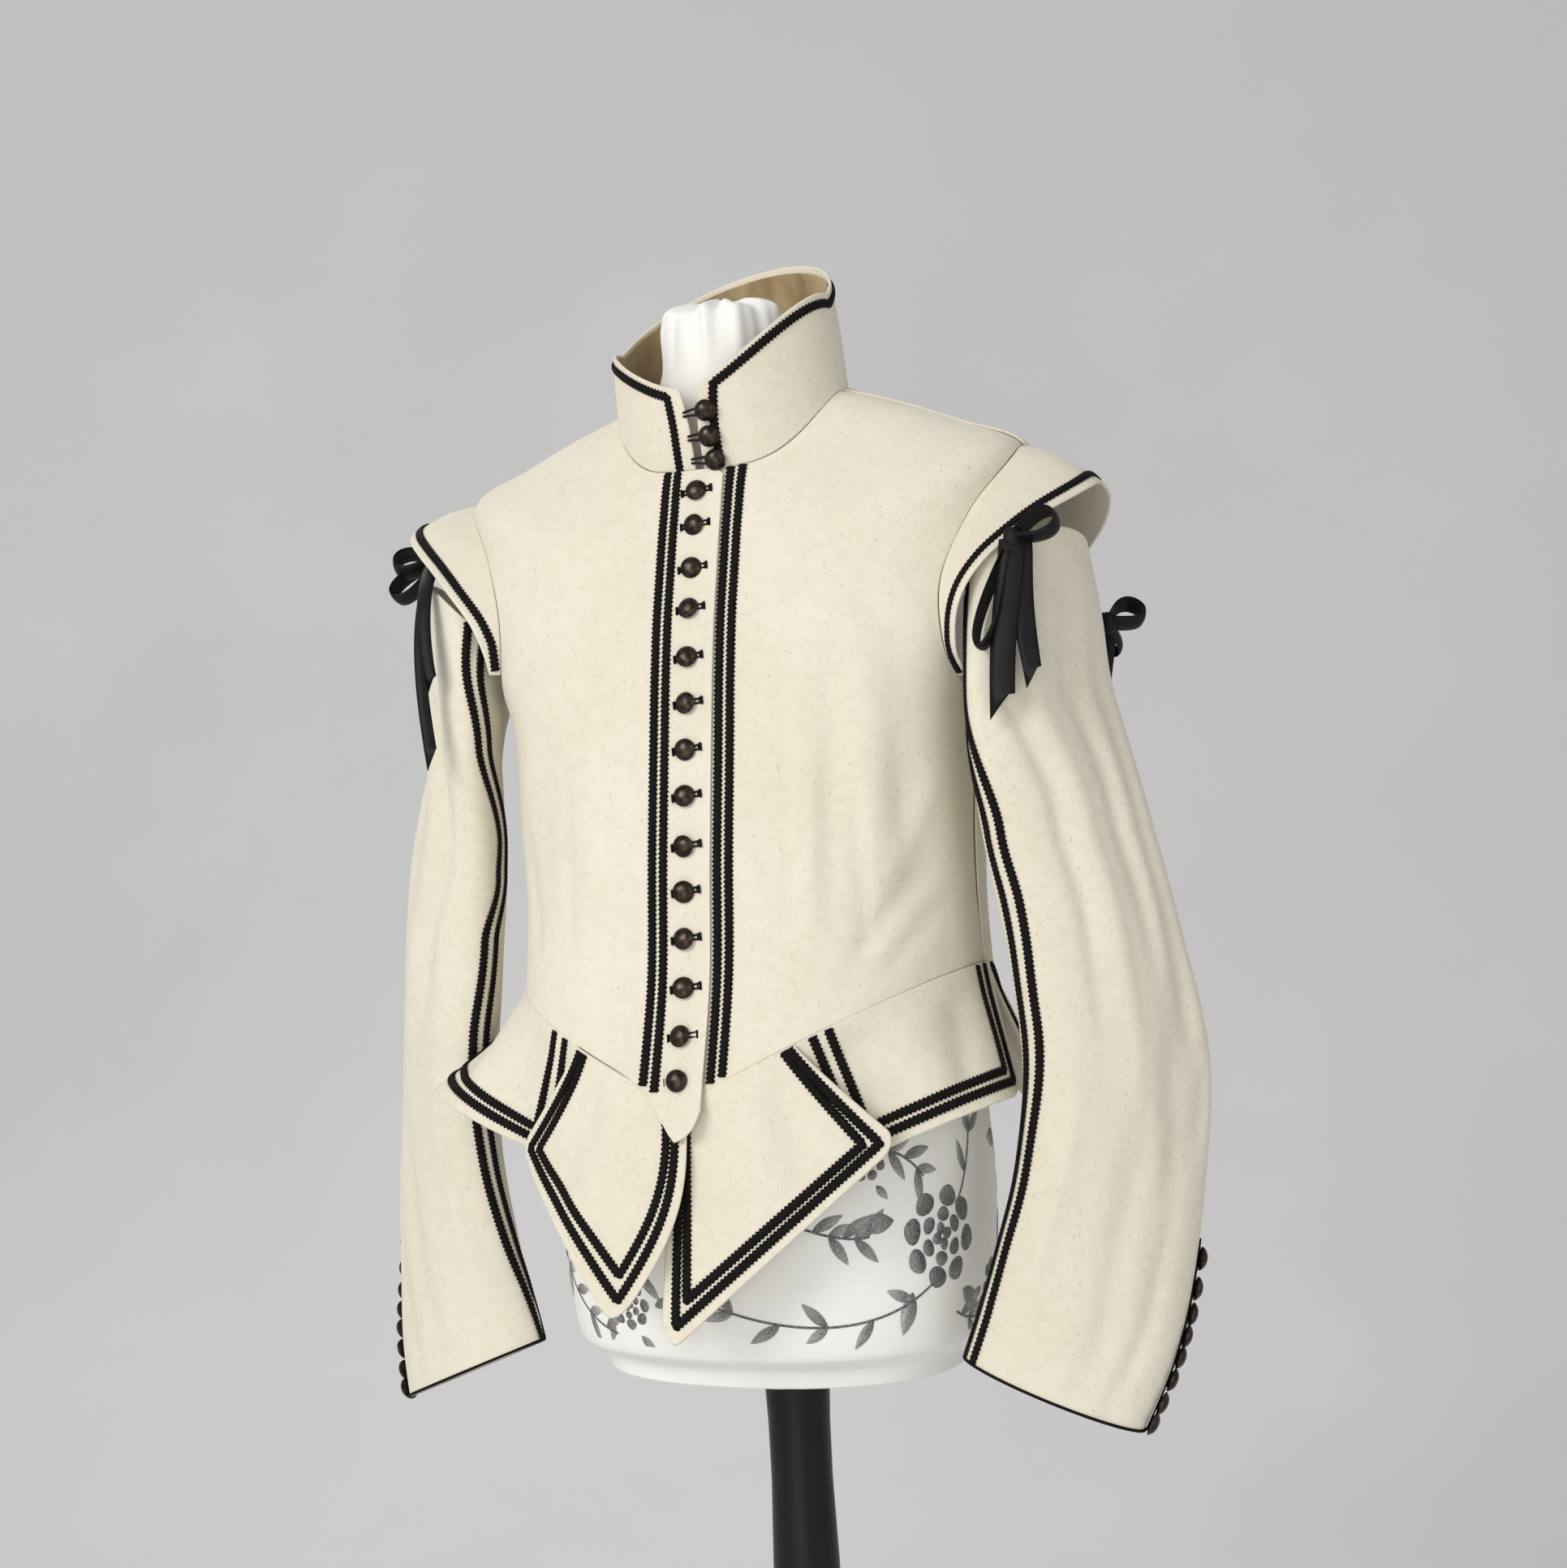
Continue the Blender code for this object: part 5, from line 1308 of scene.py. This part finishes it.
def make_form():
    """The padded torso under its cotton cover, with the gathered neck and the rolled lower edge."""
    turns = span(0, 360, 96)[:-1]
    hip_places = span(0, len(HIP_RINGS) - 1, 40)
    rings = [ring_at(HIP_RINGS, place) for place in hip_places]
    rings += [form_ring(level) for level in span(0.2, 8.8, 60)]
    rings += [ring_at(NECK_RINGS, place) for place in span(0, len(NECK_RINGS) - 1, 40)]
    rows = []
    for ring in rings:
        row = []
        for turn in turns:
            point = ring_point(ring, turn)
            out = Vector((point.x, point.y + 0.03, 0)).normalized()
            if ring["side_z"] > 1.455:
                strength = smooth_step(1.455, 1.50, point.z)
                gather = math.sin(math.radians(turn) * 11 + 1.3 * math.sin(math.radians(turn) * 3)) * 0.0022
                gather += math.sin(math.radians(turn) * 23) * 0.0008
                point = point + out * gather * strength * smooth_step(0.0, 0.02, point.xy.length)
                fold = noise.noise(Vector((math.cos(math.radians(turn)) * 4 + point.z * 30, math.sin(math.radians(turn)) * 4, point.z * 60)))
                fold *= 0.0075 * smooth_step(1.49, 1.52, point.z)
                point = point + out * fold * smooth_step(0.0, 0.02, point.xy.length) + Vector((0, 0, fold * 0.8))
            elif point.z < 0.80:
                point = point + out * math.sin(math.radians(turn) * 40) * 0.0004
            if 0.965 < point.z < 1.455:
                point = point - out * 0.0035 * smooth_step(0.965, 0.985, point.z) * smooth_step(1.455, 1.435, point.z)
            row.append(point[:])
        rows.append(row)
    grid = np.array(rows)
    count, across = grid.shape[:2]
    verts = list(grid.reshape(-1, 3)) + [grid[0].mean(axis=0), grid[-1].mean(axis=0)]
    faces = []
    for j in range(count - 1):
        for i in range(across):
            n = (i + 1) % across
            faces.append((j * across + i, j * across + n, (j + 1) * across + n, (j + 1) * across + i))
    for i in range(across):
        n = (i + 1) % across
        faces.append((n, i, count * across))
        faces.append(((count - 1) * across + i, (count - 1) * across + n, count * across + 1))
    piece = new_object("form_cover", verts, faces, COVER)
    fix_facing(piece)
    keep_piece(piece, "form_cloth", "dress_form")
    return piece


# Print on the cover: own sprays of flowers, leaves and stems, by turn and height; size in metres, lean in degrees
FLOWERS = ((64, 0.868, 0.037, 10), (-64, 0.880, 0.034, 40), (12, 0.935, 0.030, -20), (118, 0.900, 0.036, 0), (178, 0.860, 0.037, 60),
           (-122, 0.875, 0.036, 25), (-24, 0.828, 0.019, 70), (92, 0.826, 0.018, 30), (40, 0.925, 0.016, 0))
STEMS = (
    ((60, 0.838), (40, 0.806), (14, 0.812), (-2, 0.832)),
    ((72, 0.892), (84, 0.935), (80, 0.985), (88, 1.02)),
    ((30, 0.925), (44, 0.938), (52, 0.928), (58, 0.910)),
    ((-66, 0.880), (-60, 0.840), (-44, 0.812), (-30, 0.806)),
    ((-70, 0.93), (-84, 0.955), (-96, 0.945), (-108, 0.92)),
    ((112, 0.872), (130, 0.830), (152, 0.826), (168, 0.840)),
    ((186, 0.885), (204, 0.925), (222, 0.930), (236, 0.905)),
    ((-128, 0.85), (-140, 0.815), (-158, 0.812), (-172, 0.832)),
    ((126, 0.93), (142, 0.955), (160, 0.95), (172, 0.93)),
    ((22, 0.882), (30, 0.874), (36, 0.872), (40, 0.874)),
    ((-40, 0.87), (-34, 0.858), (-26, 0.852), (-16, 0.850)),
    ((70, 0.815), (76, 0.806), (84, 0.804), (96, 0.812)),
)


def form_point(turn, height):
    """Point and normal of the form's cover at a turn and a height below the waist."""
    low, high = 0.0, float(len(HIP_RINGS) - 1)
    for _ in range(30):
        middle = (low + high) / 2
        if ring_point(ring_at(HIP_RINGS, middle), turn).z < height:
            low = middle
        else:
            high = middle
    ring = ring_at(HIP_RINGS, low)
    point = ring_point(ring, turn)
    side = ring_point(ring, turn + 1) - ring_point(ring, turn - 1)
    up = ring_point(ring_at(HIP_RINGS, min(low + 0.05, len(HIP_RINGS) - 1)), turn) - ring_point(ring_at(HIP_RINGS, max(low - 0.05, 0)), turn)
    return point, side.cross(up).normalized()


def make_print_pieces():
    """Thin printed shapes laid just over the cover."""
    verts, faces, shades = [], [], []

    def lay(turn, height, dx, dy):
        wide = 0.150
        point, normal = form_point(turn + math.degrees(dx / wide), min(max(height + dy, 0.7995), 0.9690))
        return point + normal * 0.00025

    def shape(turn, height, outline, inner, dark, light):
        start = len(verts)
        verts.append(lay(turn, height, *inner)[:])
        shades.append(dark)
        for x, y, shade in outline:
            verts.append(lay(turn, height, x, y)[:])
            shades.append(dark + (light - dark) * shade)
        count = len(outline)
        for k in range(count):
            faces.append((start, start + 1 + k, start + 1 + (k + 1) % count))

    def leaf(turn, height, x, y, lean, length, width, dark, light, blunt=0.8):
        cosine, sine = math.cos(lean), math.sin(lean)
        outline = []
        for k in range(15):
            t = k / 14
            half = width * math.sin(math.pi * t) ** blunt * (1 - 0.25 * t)
            outline.append((t * length, half, t))
        for k in range(13, 0, -1):
            t = k / 14
            half = width * math.sin(math.pi * t) ** blunt * (1 - 0.25 * t) * 0.9
            outline.append((t * length, -half, t))
        turned = [(x + a * cosine - b * sine, y + a * sine + b * cosine, s) for a, b, s in outline]
        shape(turn, height, turned, (x + length * 0.3 * cosine, y + length * 0.3 * sine), dark, light)

    for turn, height, size, lean in FLOWERS:
        for ring, count, reach, wide in ((0.03, 4, 0.25, 0.13), (0.29, 6, 0.28, 0.20), (0.59, 8, 0.40, 0.29)):
            for k in range(count):
                angle = math.radians(lean + 360 * (k + 0.8 * ring) / count + 4 * math.sin(3.7 * k + turn))
                start = size * ring
                leaf(turn, height, start * math.cos(angle), start * math.sin(angle) * 0.92,
                     angle + 0.14 * math.sin(2.3 * k), size * reach, size * wide, 0.010 + 0.02 * ring,
                     0.10 + 0.10 * math.sin(k * 1.9) ** 2, 0.5)
        for k in range(3):
            angle = math.radians(lean + 150 + 70 * k)
            leaf(turn, height, size * 1.25 * math.cos(angle), size * 1.2 * math.sin(angle), angle + 0.4, size * 0.8, size * 0.22, 0.10, 0.34)
    for number, stem in enumerate(STEMS):
        line = []
        for t in span(0, 1, 26):
            u = 1 - t
            weights = (u ** 3, 3 * u * u * t, 3 * u * t * t, t ** 3)
            line.append((sum(w * p[0] for w, p in zip(weights, stem)), sum(w * p[1] for w, p in zip(weights, stem))))
        for (t0, z0), (t1, z1) in zip(line, line[1:]):
            dx, dz = (t1 - t0) * math.radians(1) * 0.150, z1 - z0
            size = math.hypot(dx, dz)
            nx, nz = -dz / size * 0.0008, dx / size * 0.0008
            start = len(verts)
            for turn, height, sign in ((t0, z0, 1), (t0, z0, -1), (t1, z1, -1), (t1, z1, 1)):
                verts.append(lay(turn, height, nx * sign, nz * sign)[:])
                shades.append(0.05)
            faces.append((start, start + 1, start + 2, start + 3))
        for k in range(5):
            turn, height = line[3 + 5 * k]
            angle = math.atan2(line[4 + 5 * k][1] - height, (line[4 + 5 * k][0] - turn) * math.radians(1) * 0.15)
            side = 1 if (k + number) % 2 else -1
            leaf(turn, height, 0, 0, angle + side * 0.75, 0.024, 0.0046, 0.07, 0.30)
            if k % 2 == number % 2:
                leaf(turn, height, 0, 0, angle - side * 0.6, 0.019, 0.0042, 0.12, 0.38)
    piece = new_object("form_print", verts, faces, PRINT)
    layer = piece.data.color_attributes.new(name="shade", type="FLOAT_COLOR", domain="POINT")
    for entry, shade in zip(layer.data, shades):
        entry.color = (shade, shade * 0.98, shade * 0.95, 1)
    solid = piece.modifiers.new("film", "SOLIDIFY")
    solid.thickness = 0.0001
    solid.offset = 1
    keep_piece(piece, "form_cloth")


def make_stand():
    profile = [(r, z) for z, r in STAND_PROFILE]
    smooth = []
    for (r0, z0), (r1, z1) in zip(profile, profile[1:]):
        smooth.append((r0, z0))
        if z0 > 0.05 and z1 - z0 > 0.03:
            smooth += [(r0 + (r1 - r0) * t, z0 + (z1 - z0) * t) for t in (0.33, 0.66)]
    smooth.append(profile[-1])
    piece = lathe("stand_turned", smooth, 72, PAINT)
    piece.data.set_sharp_from_angle(angle=math.radians(40))
    keep_piece(piece, "stand_paint", "stand")


make_body()
make_collar()
make_wings()
make_sleeves()
make_tabs()
make_buttons()
make_sleeve_buttons()
make_cuff_edges()
make_bows()
make_form()
make_print_pieces()
make_stand()


# Camera: the photograph's place and tilt, worked out from the object's outline
CAMERA_AT = Vector((0.6554, -1.5887, 1.153))
CAMERA_TURN = math.radians(22)
CAMERA_PITCH = math.radians(0.75)
CAMERA_ROLL = math.radians(3.0)
LENS_MM = 54.94


def make_camera():
    ahead = Vector((-math.sin(CAMERA_TURN) * math.cos(CAMERA_PITCH), math.cos(CAMERA_TURN) * math.cos(CAMERA_PITCH), math.sin(CAMERA_PITCH)))
    level = Vector((math.cos(CAMERA_TURN), math.sin(CAMERA_TURN), 0))
    above = level.cross(ahead)
    right = level * math.cos(CAMERA_ROLL) - above * math.sin(CAMERA_ROLL)
    up = level * math.sin(CAMERA_ROLL) + above * math.cos(CAMERA_ROLL)
    data = bpy.data.cameras.new("photo_camera")
    data.sensor_fit = "HORIZONTAL"
    data.sensor_width = 36
    data.lens = LENS_MM
    data.clip_start = 0.05
    camera = bpy.data.objects.new("photo_camera", data)
    back = -ahead
    camera.matrix_world = Matrix((
        (right.x, up.x, back.x, CAMERA_AT.x), (right.y, up.y, back.y, CAMERA_AT.y), (right.z, up.z, back.z, CAMERA_AT.z), (0, 0, 0, 1),
    ))
    bpy.context.scene.collection.objects.link(camera)
    bpy.context.scene.camera = camera


def make_stage():
    """A pale floor that sweeps up behind the object, with soft light from the front left."""
    verts, faces = [], []
    profile = [(-6.0, 0.0), (1.6, 0.0)] + [(1.6 + 1.4 * math.sin(a), 1.4 - 1.4 * math.cos(a)) for a in span(0.1, math.pi / 2, 14)] + [(3.0, 6.0)]
    turn = Matrix.Rotation(CAMERA_TURN, 4, "Z")
    for y, z in profile:
        verts += [(turn @ Vector((-7, y, z)))[:], (turn @ Vector((7, y, z)))[:]]
    for k in range(len(profile) - 1):
        faces.append((2 * k, 2 * k + 1, 2 * k + 3, 2 * k + 2))
    material, tree, shader, where = node_material("stage_pale", (0.80, 0.79, 0.775), 0.9)
    cloud = ramp_node(tree, noise_node(tree, where, 2.0, 3), ((0.3, (0.770, 0.762, 0.748)), (0.7, (0.800, 0.792, 0.778))))
    tree.links.new(cloud, shader.inputs["Base Color"])
    floor = new_object("floor", verts, faces, material)
    floor.location.z = -0.0005

    def light(name, place, target, size, power, colour):
        data = bpy.data.lights.new(name, "AREA")
        data.size = size
        data.energy = power
        data.color = colour
        lamp = bpy.data.objects.new(name, data)
        lamp.location = place
        lamp.rotation_euler = (Vector(target) - Vector(place)).to_track_quat("-Z", "Y").to_euler()
        bpy.context.scene.collection.objects.link(lamp)
    light("key", (-0.9, -2.6, 2.4), (0, 0, 1.15), 1.3, 48, (1.0, 0.985, 0.965))
    light("fill", (2.6, -1.6, 1.7), (0, 0, 1.1), 2.0, 14, (1.0, 0.98, 0.95))
    light("low", (0.3, -2.7, 0.7), (0, 0, 0.95), 1.6, 13, (1.0, 0.99, 0.96))
    light("back", (-1.4, 1.2, 2.6), (0, 0, 1.2), 1.2, 14, (1.0, 1.0, 1.0))
    world = bpy.data.worlds.new("soft_world")
    bpy.context.scene.world = world
    world.use_nodes = True
    world.node_tree.nodes["Background"].inputs["Color"].default_value = (0.93, 0.95, 1.0, 1)
    world.node_tree.nodes["Background"].inputs["Strength"].default_value = 0.50


make_camera()
make_stage()
bpy.context.scene.view_settings.view_transform = "Standard"
bpy.context.view_layer.update()
